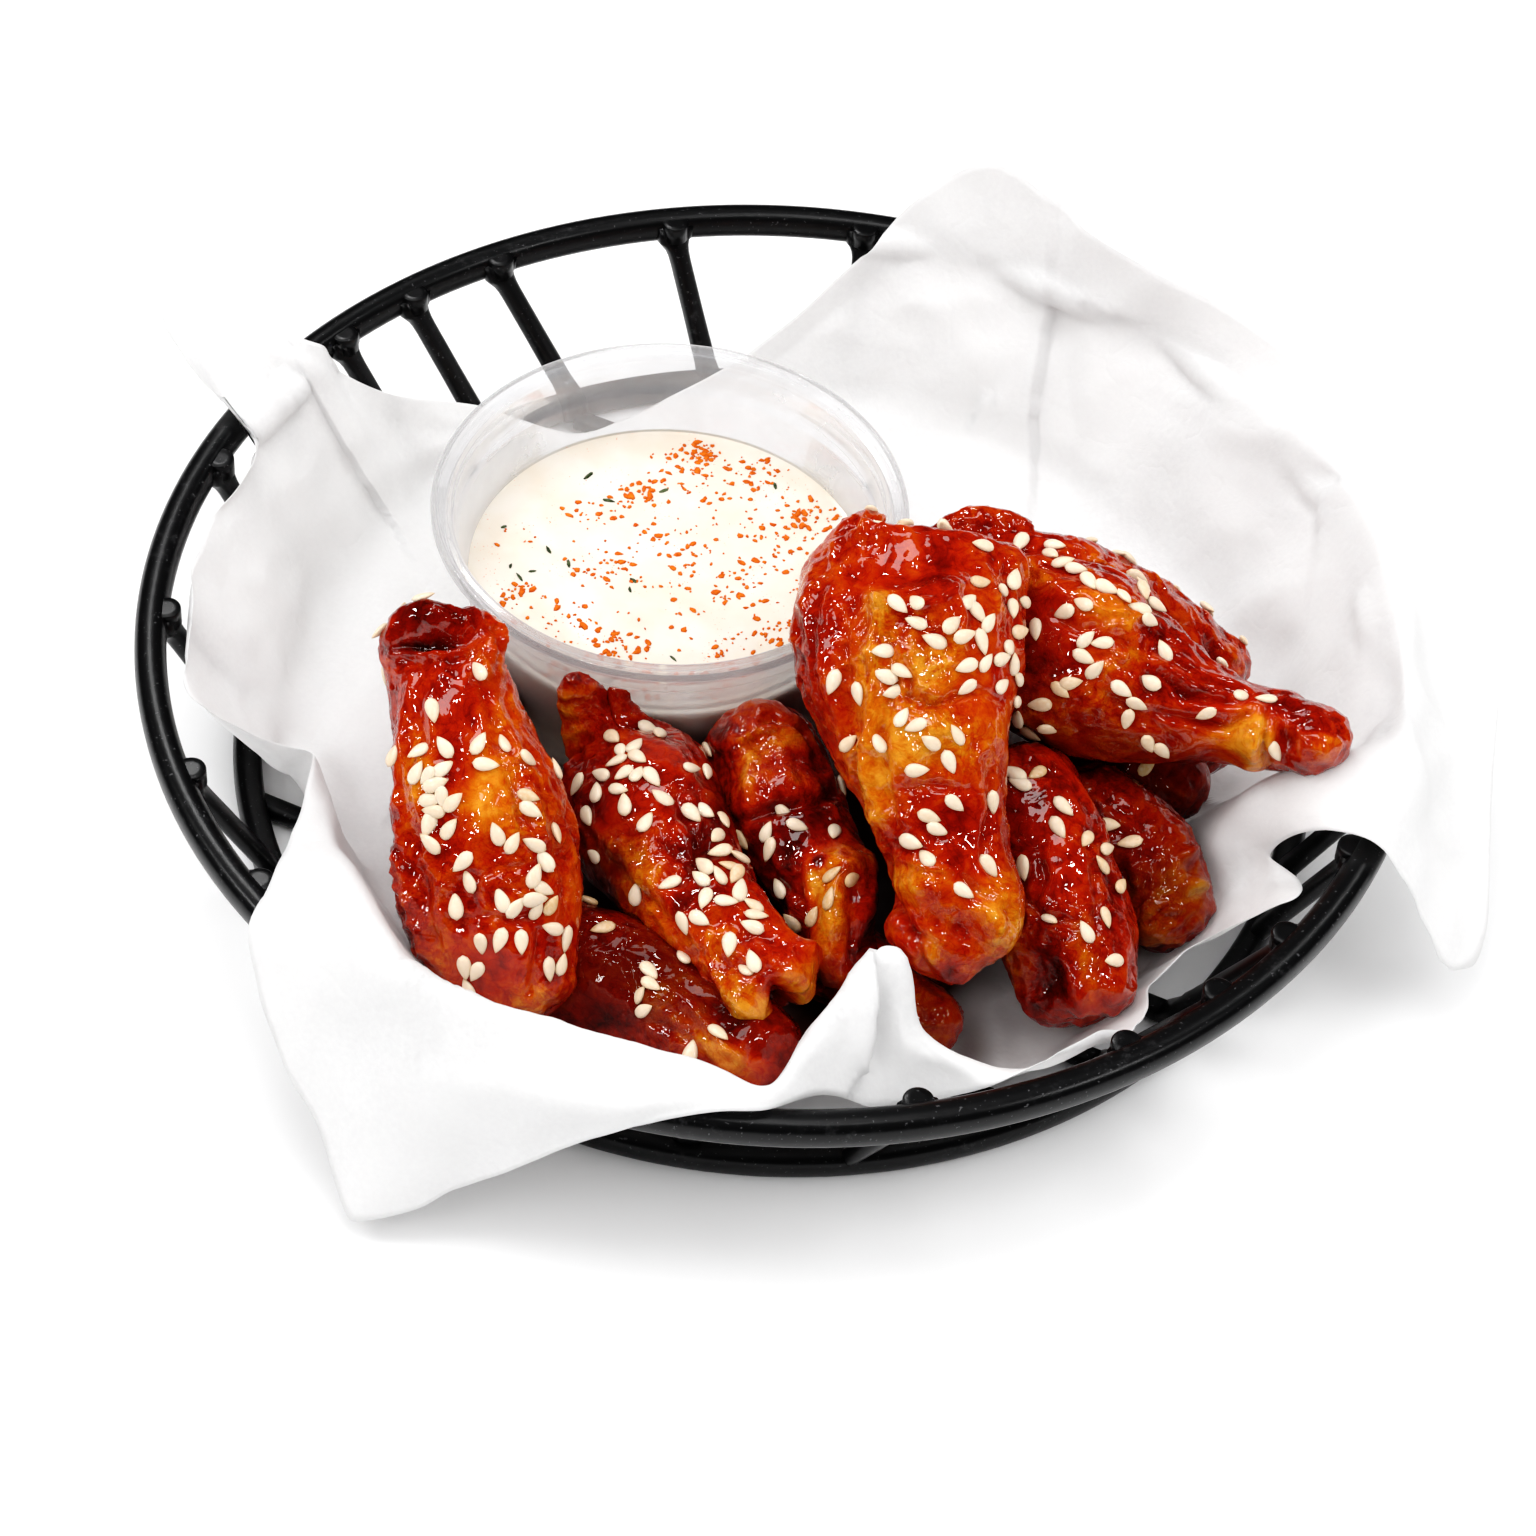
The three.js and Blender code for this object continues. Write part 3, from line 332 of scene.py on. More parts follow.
def line_weight(places, line, width):
    """A soft band along a line of places in the picture frame, thinner at its ends."""
    best = np.zeros(len(places))
    for distance, _, share in off_line(places, line):
        taper = 0.3 + 0.7 * np.sin(math.pi * np.clip(share, 0.02, 0.98)) ** 0.5
        best = np.maximum(best, np.exp(-((distance / width) ** 2)) * taper)
    return best


def ovals(places, patches):
    """The sum of soft ovals: (amount, x, y, half-width, half-height, turn)."""
    total = np.zeros(len(places))
    for amount, *patch in patches:
        total = total + amount * patch_weight(places, *patch)
    return total


# ------------------------------------------------------------ materials


class Nodes:
    """Short ways to add and join a material's nodes."""

    def __init__(self, name):
        self.material = bpy.data.materials.new(name)
        self.material.use_nodes = True
        self.tree = self.material.node_tree
        self.tree.nodes.clear()
        self.output = self.tree.nodes.new("ShaderNodeOutputMaterial")
        self.coords = None

    def join(self, node, key, value):
        """Sets an input of a node, or links it to another node's output."""
        if isinstance(value, bpy.types.NodeSocket):
            self.tree.links.new(value, node.inputs[key])
        else:
            node.inputs[key].default_value = value

    def add(self, kind, inputs=None, **settings):
        node = self.tree.nodes.new(kind)
        for key, value in settings.items():
            setattr(node, key, value)
        for key, value in (inputs or {}).items():
            self.join(node, key, value)
        return node

    def place(self):
        """Object coordinates in millimetres."""
        if self.coords is None:
            raw = self.add("ShaderNodeTexCoord").outputs["Object"]
            scale = {0: raw, 1: (1 / MM, 1 / MM, 1 / MM)}
            self.coords = self.add("ShaderNodeVectorMath", scale, operation="MULTIPLY").outputs[0]
        return self.coords

    def shift(self, by):
        """Moves this material's noise by so many millimetres."""
        moved = self.add("ShaderNodeVectorMath", {0: self.place(), 1: by}, operation="ADD")
        self.coords = moved.outputs[0]

    def noise(self, size, detail=3.0, roughness=0.5, distortion=0.0):
        """Noise from 0 to 1 whose features are size millimetres across."""
        return self.add("ShaderNodeTexNoise", {
            "Vector": self.place(),
            "Scale": 1 / size,
            "Detail": detail,
            "Roughness": roughness,
            "Distortion": distortion,
        }).outputs["Fac"]

    def attribute(self, name):
        return self.add("ShaderNodeAttribute", attribute_name=name).outputs["Fac"]

    def ramp(self, value, stops):
        node = self.add("ShaderNodeValToRGB", {"Fac": value})
        band = node.color_ramp
        while len(band.elements) < len(stops):
            band.elements.new(0.5)
        for element, (at, colour) in zip(band.elements, stops):
            element.position = at
            element.color = (*colour, 1)
        return node.outputs["Color"]

    def rise(self, value, low, high, start=0, end=1):
        """start below low, end above high and an even slope between them."""
        return self.ramp(value, [(low, (start,) * 3), (high, (end,) * 3)])

    def math(self, operation, a, b=0.0, clamp=False):
        inputs = {0: a, 1: b}
        return self.add("ShaderNodeMath", inputs, operation=operation, use_clamp=clamp).outputs[0]

    def plus(self, a, b, clamp=False):
        return self.math("ADD", a, b, clamp)

    def times(self, a, b, clamp=False):
        return self.math("MULTIPLY", a, b, clamp)

    def swing(self, value, by):
        """A noise turned into a change to either side of nothing."""
        return self.times(self.math("SUBTRACT", value, 0.5), by)

    def veins(self, value):
        """Near 0 along the winding lines where a noise passes its middle."""
        return self.math("ABSOLUTE", self.math("SUBTRACT", value, 0.5))

    def mix(self, factor, a, b, blend="MIX"):
        node = self.add("ShaderNodeMix", data_type="RGBA", blend_type=blend)
        for key, value in ((0, factor), (6, a), (7, b)):
            self.join(node, key, (*value, 1) if isinstance(value, tuple) else value)
        return node.outputs[2]

    def bump(self, height, strength, distance):
        inputs = {"Height": height, "Strength": strength, "Distance": distance * MM}
        return self.add("ShaderNodeBump", inputs).outputs["Normal"]

    def principled(self, inputs):
        return self.add("ShaderNodeBsdfPrincipled", inputs)

    def blend(self, share, a, b):
        """A shader that is a, and by this share b."""
        return self.add("ShaderNodeMixShader", {0: share, 1: a.outputs[0], 2: b.outputs[0]})

    def finish(self, shader):
        self.tree.links.new(shader.outputs[0], self.output.inputs["Surface"])
        return self.material


def black_plastic():
    """Moulded plastic with patches of scuffs and specks of dust."""
    n = Nodes("black_plastic")
    streaks = n.noise(1.6, detail=6, roughness=0.7)
    worn_place = n.rise(n.noise(14, detail=2), 0.48, 0.66)
    scuff = n.times(n.rise(streaks, 0.54, 0.72), worn_place)
    dust = n.rise(n.noise(0.55, detail=1), 0.7, 0.74)
    worn = n.math("MAXIMUM", n.times(scuff, 0.5), n.times(dust, 0.9))
    height = n.plus(n.times(streaks, 0.4), n.noise(3.5, detail=2))
    return n.finish(n.principled({
        "Base Color": n.mix(worn, (0.0075, 0.0075, 0.008), (0.075, 0.075, 0.078)),
        "Roughness": n.plus(0.3, n.times(worn, 0.35)),
        "IOR": 1.45,
        "Specular IOR Level": 0.4,
        "Normal": n.bump(height, 0.35, 0.12),
    }))


def wax_paper():
    """Thin paper that lets some light through, with fibres, creases, and dark patches for sauce and for
    painted shade between and under the wings.
    """
    n = Nodes("wax_paper")
    fibre = n.noise(0.8, detail=5, roughness=0.65)
    cloud = n.noise(22, detail=3)
    crinkle = n.noise(6, detail=4, roughness=0.6, distortion=0.6)
    tint = n.mix(n.rise(cloud, 0.3, 0.7), (0.875, 0.872, 0.878), (0.93, 0.928, 0.93))
    colour = n.mix(n.rise(fibre, 0.35, 0.65), tint, (0.94, 0.94, 0.94))
    # sauce and painted shade: the paper darkens where sauce ran and where shadow falls between and under
    # the wings
    sauce_and_shade_mask = n.times(n.attribute("stain"), n.plus(0.6, n.times(cloud, 0.8)), clamp=True)
    crease = n.rise(n.veins(n.noise(13, detail=3, roughness=0.55)), 0, 0.05)
    height = n.plus(n.plus(crinkle, n.times(fibre, 0.12)), n.times(crease, 0.3))
    normal = n.bump(height, 0.32, 0.5)
    face = n.principled({
        "Base Color": n.mix(sauce_and_shade_mask, colour, (0.07, 0.012, 0.004)),
        "Roughness": 0.5,
        "IOR": 1.4,
        "Specular IOR Level": 0.35,
        "Sheen Weight": 0.1,
        "Normal": normal,
    })
    # the same sauce and painted shade darken the light that passes through the paper
    light = n.mix(sauce_and_shade_mask, (0.95, 0.94, 0.93), (0.09, 0.01, 0.003))
    through = n.add("ShaderNodeBsdfTranslucent", {"Color": light, "Normal": normal})
    return n.finish(n.blend(0.3, face, through))


def clear_plastic():
    """Clear plastic with a milky haze: it greys what is behind it and whitens edge on."""
    n = Nodes("clear_plastic")
    normal = n.bump(n.noise(9, detail=2), 0.06, 0.4)
    seen = n.add("ShaderNodeBsdfTransparent", {"Color": (0.993, 0.993, 0.996, 1)})
    gloss = n.add("ShaderNodeBsdfGlossy", {"Color": (1, 1, 1, 1), "Roughness": 0.12, "Normal": normal})
    haze_front = n.add("ShaderNodeBsdfDiffuse", {"Color": (0.97, 0.97, 0.985, 1)})
    haze_back = n.add("ShaderNodeBsdfTranslucent", {"Color": (0.98, 0.98, 0.99, 1)})
    edge = n.add("ShaderNodeLayerWeight", {"Blend": 0.4, "Normal": normal}).outputs["Facing"]
    smear = n.rise(n.noise(7, detail=4), 0.4, 0.7, end=0.05)
    cloud = n.plus(0.17, n.times(n.math("POWER", edge, 1.8), 0.6))
    body = n.blend(n.plus(cloud, smear, clamp=True), seen, n.blend(0.5, haze_front, haze_back))
    mirror = n.add("ShaderNodeFresnel", {"IOR": 1.4, "Normal": normal}).outputs[0]
    return n.finish(n.blend(n.times(mirror, 0.7), body, gloss))


def white_dip():
    """Creamy dip with faint clouds and smears of paprika."""
    n = Nodes("white_dip")
    cream = n.mix(n.rise(n.noise(9, detail=3), 0.35, 0.65), (0.79, 0.705, 0.59), (0.83, 0.775, 0.69))
    speck = n.rise(n.noise(0.5, detail=1), 0.7, 0.73)
    smear = n.times(speck, n.rise(n.noise(7, detail=2), 0.5, 0.58))
    return n.finish(n.principled({
        "Base Color": n.mix(n.times(smear, 0.75), cream, (0.8, 0.2, 0.03)),
        "Roughness": 0.28,
        "IOR": 1.45,
        "Subsurface Weight": 0.25,
        "Subsurface Radius": (1.0, 0.85, 0.65),
        "Subsurface Scale": 1.2 * MM,
        "Coat Weight": 0.3,
        "Coat Roughness": 0.12,
        "Normal": n.bump(n.noise(4.5, detail=3), 0.25, 0.5),
    }))


def spice(name, light, dark):
    n = Nodes(name)
    return n.finish(n.principled({
        "Base Color": n.mix(n.rise(n.noise(0.7, detail=3), 0.35, 0.65), dark, light),
        "Roughness": 0.45,
        "Specular IOR Level": 0.1,
        "Normal": n.bump(n.noise(0.25, detail=2), 0.5, 0.08),
    }))


def sesame():
    """Pale seeds with browner tips, each browned by its own share of glaze tan and painted shade."""
    n = Nodes("sesame")
    # shade here is glaze tan and painted shade: it browns a seed under glaze and where it lies in shadow
    body = n.mix(n.attribute("shade"), (0.84, 0.7, 0.53), (0.66, 0.42, 0.2))
    mottled = n.mix(n.rise(n.noise(0.6, detail=3), 0.4, 0.7, end=0.35), body, (0.88, 0.77, 0.62))
    return n.finish(n.principled({
        "Base Color": n.mix(n.rise(n.attribute("tip"), 0.75, 1, end=0.6), mottled, (0.62, 0.4, 0.2)),
        "Roughness": 0.38,
        "Subsurface Weight": 0.2,
        "Subsurface Radius": (1.0, 0.7, 0.4),
        "Subsurface Scale": 0.6 * MM,
        "Coat Weight": 0.25,
        "Coat Roughness": 0.15,
        "Normal": n.bump(n.noise(0.45, detail=2), 0.25, 0.06),
    }))


# The skin's colour by its tone: from charred glaze over red to bare orange crust.
GLAZE_STOPS = [
    (0.0, (0.012, 0.0014, 0.0004)),
    (0.2, (0.058, 0.0026, 0.0004)),
    (0.4, (0.205, 0.0068, 0.0004)),
    (0.55, (0.38, 0.0175, 0.0008)),
    (0.7, (0.49, 0.056, 0.002)),
    (0.85, (0.61, 0.14, 0.006)),
    (1.0, (0.74, 0.285, 0.03)),
]


def glazed_skin(name, number):
    """Fried skin under a wet red glaze: darker where the glaze lies deep, and darkened and dulled by
    painted shade where the wing lies in shadow.
    """
    n = Nodes(name)
    n.shift((number * 31.0, number * 17.0, 0))
    wet, shade = n.attribute("wet"), n.attribute("shade")
    dry = n.math("SUBTRACT", 1.0, wet, clamp=True)
    drift = n.swing(n.noise(5, detail=6, roughness=0.66, distortion=1.0), 0.5)
    grain = n.swing(n.noise(1.3, detail=5, roughness=0.7, distortion=0.5), 0.22)
    patchy = n.rise(n.noise(3.4, detail=5, roughness=0.6, distortion=1.6), 0.46, 0.54)
    pooled = n.times(n.swing(patchy, 0.13), dry)
    furrow = n.rise(n.veins(n.noise(4.2, detail=3, distortion=1.2)), 0, 0.04, start=1, end=0)
    tone = n.plus(n.plus(n.plus(n.attribute("tone"), drift), grain), pooled)
    tone = n.plus(tone, n.times(furrow, -0.08), clamp=True)
    char = n.rise(n.noise(0.8, detail=3), 0.68, 0.78, end=0.5)
    colour = n.mix(char, n.ramp(tone, GLAZE_STOPS), (0.05, 0.006, 0.002))
    pimples = n.add("ShaderNodeTexVoronoi", {"Vector": n.place(), "Scale": 1 / 1.2}, feature="SMOOTH_F1")
    wrinkle = n.noise(1.9, detail=6, roughness=0.66, distortion=1.4)
    height = n.plus(n.times(pimples.outputs["Distance"], -0.3), wrinkle)
    ripple = n.noise(3.2, detail=1.5, roughness=0.35, distortion=1.0)
    return n.finish(n.principled({
        # painted shade darkens the colour where the wing lies in shadow
        "Base Color": n.mix(shade, colour, (0.1, 0.08, 0.06), "MULTIPLY"),
        "Roughness": 0.4,
        "IOR": 1.4,
        "Specular IOR Level": 0.04,
        "Subsurface Weight": 0.06,
        "Subsurface Radius": (1.0, 0.25, 0.06),
        "Subsurface Scale": 1.2 * MM,
        # painted shade also takes the coat's gloss away where the wing lies in shadow
        "Coat Weight": n.math("SUBTRACT", 1.0, n.times(shade, 0.75)),
        "Coat Roughness": 0.015,
        "Coat IOR": 1.55,
        "Normal": n.bump(height, n.plus(0.25, n.times(dry, 0.7)), 0.8),
        "Coat Normal": n.bump(ripple, n.plus(0.15, n.times(dry, 0.5)), 1.2),
    }))


# ------------------------------------------------------------ basket

RIBS = [  # azimuth at the rim and at the base ring; each row stands for two, half a turn apart
    (84.6, 84.6),
    (104.5, 101),
    (123.7, 118.5),
    (134, 130.5),
    (143.3, 141),
    (155.8, 155.8),
    (165, 165),
    (185.7, 185.7),
    (206.1, 206.1),
    (220.7, 220.7),
    (242.6, 242.6),
]
PARALLEL_BARS = (2, 3, 4)  # rows of RIBS that run on as floor bars, all one way
BAR_DIRECTION = -22
SPOKES = (0,)  # rows of RIBS that run on to the hub
BAR_START = BASE_RADIUS - 3.6

BAR_ENDS = (0, 0.02, 0.98, 1)  # close pairs of points keep a bar's ends square
RIB_PLACES = (0.03, 0.06, 0.1, 0.16, 0.5, 0.85, 0.93)  # points down the wall, as shares of it
RIB_WIDTHS = [6.4, 6.2, 5.0, 4.1, 3.6, RIB_WIDTH, RIB_WIDTH, 3.6, 4.2]  # flared under the rim
RIB_FOOT_WIDTH = 4.6


def ring(radius, wide, high, z, steps=220, sides=20, square=2.6):
    """A ring about the z axis whose section is a rounded square."""
    c, s = circle(sides, 0, square)
    return turned(radius + wide * c, z + high * s, steps)


def bar(points, widths, depth=RIB_DEPTH, sides=16, square=3.2):
    """A bar of rounded section along a line of points, kept upright."""
    rings = []
    c, s = circle(sides, 0.5, square)
    for i, point in enumerate(points):
        before, after = points[max(i - 1, 0)], points[min(i + 1, len(points) - 1)]
        way = unit(after - before)
        flat = unit([-way[1], way[0], 0])
        out = unit(np.cross(way, flat))
        rings.append(point + np.outer(c, flat) * widths[i] / 2 + np.outer(s, out) * depth / 2)
    return capped(rings, points[0], points[-1])


def rib(rim_azimuth, base_azimuth, carries_on):
    """From inside the rim, where it flares, to the base ring or on under the floor."""
    top = polar(rim_azimuth, RIM_RADIUS - 1.9, RIM_HEIGHT + 1)
    under_rim = polar(rim_azimuth, RIM_RADIUS - 2.2, RIM_HEIGHT - 1.6)
    if carries_on:
        foot = [polar(base_azimuth, BASE_RADIUS - 1.2, 5.2), polar(base_azimuth, BAR_START, RIB_FLOOR)]
    else:
        foot = [polar(base_azimuth, BASE_RADIUS - 0.2, BASE_TUBE + 0.6)]
    wall = [under_rim + (foot[0] - under_rim) * t for t in RIB_PLACES]
    return bar([top, under_rim, *wall, *foot], RIB_WIDTHS + [RIB_FOOT_WIDTH] * len(foot))


def knob(azimuth):
    """The round stud on the rim's inner edge above a rib."""
    centre = polar(azimuth, RIM_RADIUS - KNOB_INSET, 0)
    top = KNOB_TOP
    profile = [(0.98, KNOB_BOTTOM), (1, top - 0.3), (0.97, top - 0.1), (0.9, top), (0.5, top)]
    rings = [centre + disc(28) * KNOB_RADIUS * r + [0, 0, z] for r, z in profile]
    return capped(rings, centre + [0, 0, KNOB_BOTTOM], centre + [0, 0, top])


def chord(base_azimuth, half):
    """A floor bar that runs on from a rib, parallel to its neighbours."""
    start = polar(base_azimuth, BAR_START, RIB_FLOOR)
    way = polar(BAR_DIRECTION, 1, 0)
    ahead = start @ way
    reach = math.sqrt(ahead**2 - start @ start + RIB_FLOOR**2 + BASE_RADIUS**2) - ahead
    turn = np.array(Matrix.Rotation(math.radians(half), 3, "Z"))
    return bar([turn @ (start + way * reach * t) for t in BAR_ENDS], [RIB_WIDTH] * 4)


def spoke(azimuth):
    """A floor bar from a rib to the hub."""
    way = HUB_RADIUS - 3 - BAR_START
    return bar([polar(azimuth, BAR_START + way * t, RIB_FLOOR) for t in BAR_ENDS], [RIB_WIDTH] * 4)


def hub():
    """The small disc in the middle of the floor, its edges rounded off."""
    edge, top, reach = 0.5, HUB_THICKNESS, HUB_RADIUS
    profile = [(reach - edge, 0), (reach, edge), (reach, top - edge), (reach - edge, top)]
    rings = [disc(72) * r + [0, 0, z] for r, z in profile]
    return capped(rings, np.zeros(3), np.array([0, 0, top]))


def basket():
    pieces = [
        ring(RIM_RADIUS, RIM_TUBE * 0.95, RIM_TUBE, RIM_HEIGHT),
        ring(BASE_RADIUS, BASE_TUBE, BASE_TUBE * 1.1, BASE_TUBE * 1.1),
        hub(),
    ]
    for half in (0, 180):
        for i, (rim_azimuth, base_azimuth) in enumerate(RIBS):
            parallel, radial = i in PARALLEL_BARS, i in SPOKES
            pieces.append(rib(rim_azimuth + half, base_azimuth + half, parallel or radial))
            pieces.append(knob(rim_azimuth + half))
            if parallel:
                pieces.append(chord(base_azimuth, half))
            if radial:
                pieces.append(spoke(base_azimuth + half))
    points, faces = joined(pieces)
    return dress(mesh_object("rib_basket", points, faces, black_plastic()), "basket", "basket")


# ------------------------------------------------------------ paper liner

# One row for each place round the basket: where the sheet leaves the floor
# (azimuth, radius), its crest (azimuth, radius, height) and its edge (the same).
SHEET = [
    ((-176, 79), (-176, 88.5, 18), (-176, 94.4, 27.6)),
    ((-166, 79), (-166, 88, 18), (-165, 94.2, 27.6)),
    ((-160, 77.5), (-161.5, 81, 13), (-162, 87, 23)),
    ((-156, 75), (-158, 76.5, 12), (-160.5, 78.5, 18)),
    ((-151, 73), (-152, 76, 17), (-154, 77.5, 20.5)),
    ((-145, 73), (-141, 82, 29), (-145, 85, 26)),
    ((-138, 74), (-133, 87, 35), (-138, 95, 33)),
    ((-130, 75), (-125, 93.5, 40), (-134, 104, 31)),
    ((-122, 76), (-120, 97.5, 41), (-128.5, 108, 19)),
    ((-114, 76), (-114.5, 96, 39.5), (-117.8, 115, 3)),
    ((-107, 76), (-107, 94, 38), (-111.5, 108, 11)),
    ((-100, 76), (-100.5, 93, 37), (-105, 104.5, 21)),
    ((-93, 76), (-92.5, 94, 35.5), (-96.5, 101, 30.5)),
    ((-88, 74.5), (-88, 93.5, 35.2), (-89.5, 98, 33)),
    ((-84, 72), (-83.5, 86.5, 38), (-83.5, 93, 29.5)),
    ((-79.5, 69), (-78.5, 78.5, 42), (-79, 92.4, 25)),
    ((-75.5, 68), (-75.5, 76.5, 41.5), (-75.5, 92.2, 24)),
    ((-71.5, 71), (-71.5, 82, 35.5), (-71.5, 92.4, 25)),
    ((-67, 75), (-68, 88, 28.5), (-67.5, 93.4, 27.5)),
    ((-61, 77.5), (-61, 87.5, 18), (-61, 94, 28.4)),
    ((-55, 78), (-55, 87, 17), (-55, 93.8, 28)),
    ((-48.5, 77), (-48.5, 81.5, 12), (-48.5, 87.2, 20)),
    ((-42, 75.5), (-42, 77.5, 8), (-41.5, 81, 13)),
    ((-36, 75), (-37, 78.5, 9), (-35, 82.5, 16)),
    ((-31, 74), (-32, 83, 15), (-31, 92.5, 25.5)),
    ((-26, 72), (-27, 80, 14), (-26, 90.5, 21.5)),
    ((-21, 68), (-23.5, 75.5, 18), (-23.8, 84.5, 21.5)),
    ((-16, 66), (-19.5, 79, 27), (-24.6, 89, 30)),
    ((-11, 70), (-16, 89, 33.5), (-24.8, 99, 34)),
    ((-5, 75), (-12, 97.5, 36), (-24.4, 107, 25)),
    ((1, 78.5), (-6, 97.5, 36.5), (-23.2, 115, 11)),
    ((8, 79), (1, 97, 37.3), (-18.5, 118, 12)),
    ((16, 79), (8, 97, 37.3), (-9.5, 113.5, 21.5)),
    ((25, 79), (17, 96.5, 37), (1, 112.8, 31)),
    ((34, 79), (27.5, 95, 35), (12, 110, 36)),
    ((43, 79), (38.5, 93.6, 32), (25, 105.5, 38)),
    ((52, 79), (48.5, 93.5, 26), (43, 100.5, 40)),
    ((59, 79), (57, 93.2, 26), (58, 96, 42.5)),
    ((64.5, 79), (64, 93.2, 26), (65.5, 99, 44.5)),
    ((71, 79), (71, 93.2, 26), (73, 101, 46.5)),
    ((78, 79), (78, 92, 24), (79.5, 98.5, 37.5)),
    ((85, 79), (85, 89, 20), (84.5, 92.2, 28)),
    ((93, 79), (93.5, 83.4, 9.5), (94.5, 84.6, 13.5)),
    ((102, 75.5), (103.5, 77.5, 5.2), (106, 79, 6.4)),
    ((117, 66), (118, 70, 4.9), (121, 75, 5.1)),
    ((130, 73), (131, 79.5, 8.2), (132, 83.4, 12.4)),
    ((139, 78.5), (140, 84.5, 13), (141.5, 88.2, 20)),
    ((146, 79), (146.5, 89.5, 22), (147, 93, 28.5)),
    ((149, 79), (149.4, 92, 30), (148.8, 96.5, 35.5)),
    ((151.5, 79), (152, 98, 35.5), (150.5, 106, 34)),
    ((155, 79), (155, 98.5, 36), (152.8, 120, 34.5)),
    ((159.5, 79), (159, 98, 35), (157, 106, 32.5)),
    ((165, 79), (164, 90.5, 23), (162.5, 94.6, 29.6)),
    ((174, 79), (174, 88.5, 18), (174, 94.4, 27.8)),
]
SHEET_COLUMNS = 620
COLUMN_POINTS = 64
FOOT_ROUNDING = 0.16
CREST_ROUNDING = 0.12
STUD_LIFT = 3.4  # how much further the sheet keeps off the rim where a stud stands inside it
STUD_TENT = 10  # how far the lift runs out beside the stud

WAVES = [(0.5, 26, 5), (0.25, 12, 6)]  # height and size in mm, and seed
CRUMPLES = [(0.75, 19, 7), (0.3, 9, 8)]  # the same, for sharp creases
FLOOR_RINGS = 10
FLOOR_EDGE = 84  # inside this radius the sheet stays above the floor's bars
TABLE_GAP = 1.5  # how low the sheet's corners may hang
BOW_CLEARANCE = RIM_CLEARANCE + 1.2  # the sheet's distance from the rim where it hangs over it
STUD_HALF_WIDTH = 2.4
STUD_SIDE, STUD_SPREAD = 170, 45  # a stud's middle and its spread, in degrees round the rim's section


def clear_of_rim(points):
    """Moves the sheet off the rim, and off each stud with a soft tent round it."""
    points = points.copy()
    radius = np.hypot(points[:, 0], points[:, 1])
    azimuth = np.degrees(np.arctan2(points[:, 1], points[:, 0]))
    tent = np.zeros(len(points))
    for half in (0, 180):
        for rim_azimuth, _ in RIBS:
            across = np.abs(angle_between(azimuth, rim_azimuth + half)) * math.pi / 180 * RIM_RADIUS
            beyond = np.maximum(across - STUD_HALF_WIDTH, 0)
            tent = np.maximum(tent, np.exp(-((beyond / STUD_TENT) ** 2)))
    dr, dz = radius - RIM_RADIUS, points[:, 2] - RIM_HEIGHT
    distance = np.maximum(np.hypot(dr, dz), 1e-6)
    off_stud = angle_between(np.degrees(np.arctan2(dz, dr)), STUD_SIDE) / STUD_SPREAD
    reach = RIM_CLEARANCE + STUD_LIFT * tent * np.exp(-(off_stud**2))
    near = distance < reach
    over = near & (np.abs(dr) < 0.75 * RIM_CLEARANCE) & (dz > -0.3 * RIM_CLEARANCE)
    points[over, 2] = RIM_HEIGHT + np.sqrt(reach[over] ** 2 - dr[over] ** 2)
    beside = near & ~over
    push = reach[beside] / distance[beside]
    points[beside, :2] *= ((RIM_RADIUS + dr[beside] * push) / radius[beside])[:, None]
    points[beside, 2] = RIM_HEIGHT + dz[beside] * push
    return points


def bowed_over(crest, edge):
    """Two points between crest and edge that carry the sheet over the rim."""

    def from_rim(p):
        return np.array([math.hypot(p[0], p[1]) - RIM_RADIUS, p[2] - RIM_HEIGHT])

    a, b = from_rim(crest), from_rim(edge)
    line = b - a
    nearest = min(max(-(a @ line) / (line @ line), 0.25), 0.6)
    out = unit([-line[1], line[0]])
    bow = max(BOW_CLEARANCE - a @ out, 0) * min(max(b[0] / 4, 0), 1)
    rows = []
    for t, by in ((nearest, bow), ((1 + nearest) / 2, 0.4 * bow)):
        point = crest + (edge - crest) * t
        radius = math.hypot(point[0], point[1])
        moved = (radius + out[0] * by) / radius
        rows.append(np.array([point[0] * moved, point[1] * moved, point[2] + out[1] * by]))
    return rows


def sheet_column(row):
    """The points of one column of the sheet, from near its middle to its edge."""
    foot, crest, edge = row[0:3], row[3:6], row[6:9]
    inner = np.array([foot[0] * 0.6, foot[1] * 0.6, PAPER_FLOOR])

    def corner(before, at, after, share):
        start, end = at + (before - at) * share, at + (after - at) * share
        return start, (start + 2 * at + end) / 4, end

    foot_corner = corner(inner, foot, crest, FOOT_ROUNDING)
    crest_corner = corner(foot, crest, edge, CREST_ROUNDING)
    line = np.array([inner, *foot_corner, *crest_corner, *bowed_over(crest_corner[2], edge), edge])
    steps = np.linalg.norm(np.diff(line, axis=0), axis=1)
    at = np.concatenate([[0], np.cumsum(steps)]) / steps.sum()
    want = np.linspace(0, 1, COLUMN_POINTS)
    i = np.clip(np.searchsorted(at, want, side="right") - 1, 0, len(line) - 2)
    t = (want - at[i]) / (at[i + 1] - at[i])
    pad = np.concatenate([[2 * line[0] - line[1]], line, [2 * line[-1] - line[-2]]])
    curved = smooth(pad[i], pad[i + 1], pad[i + 2], pad[i + 3], t[:, None])
    straight = line[i] + (line[i + 1] - line[i]) * t[:, None]
    return 0.6 * straight + 0.4 * curved


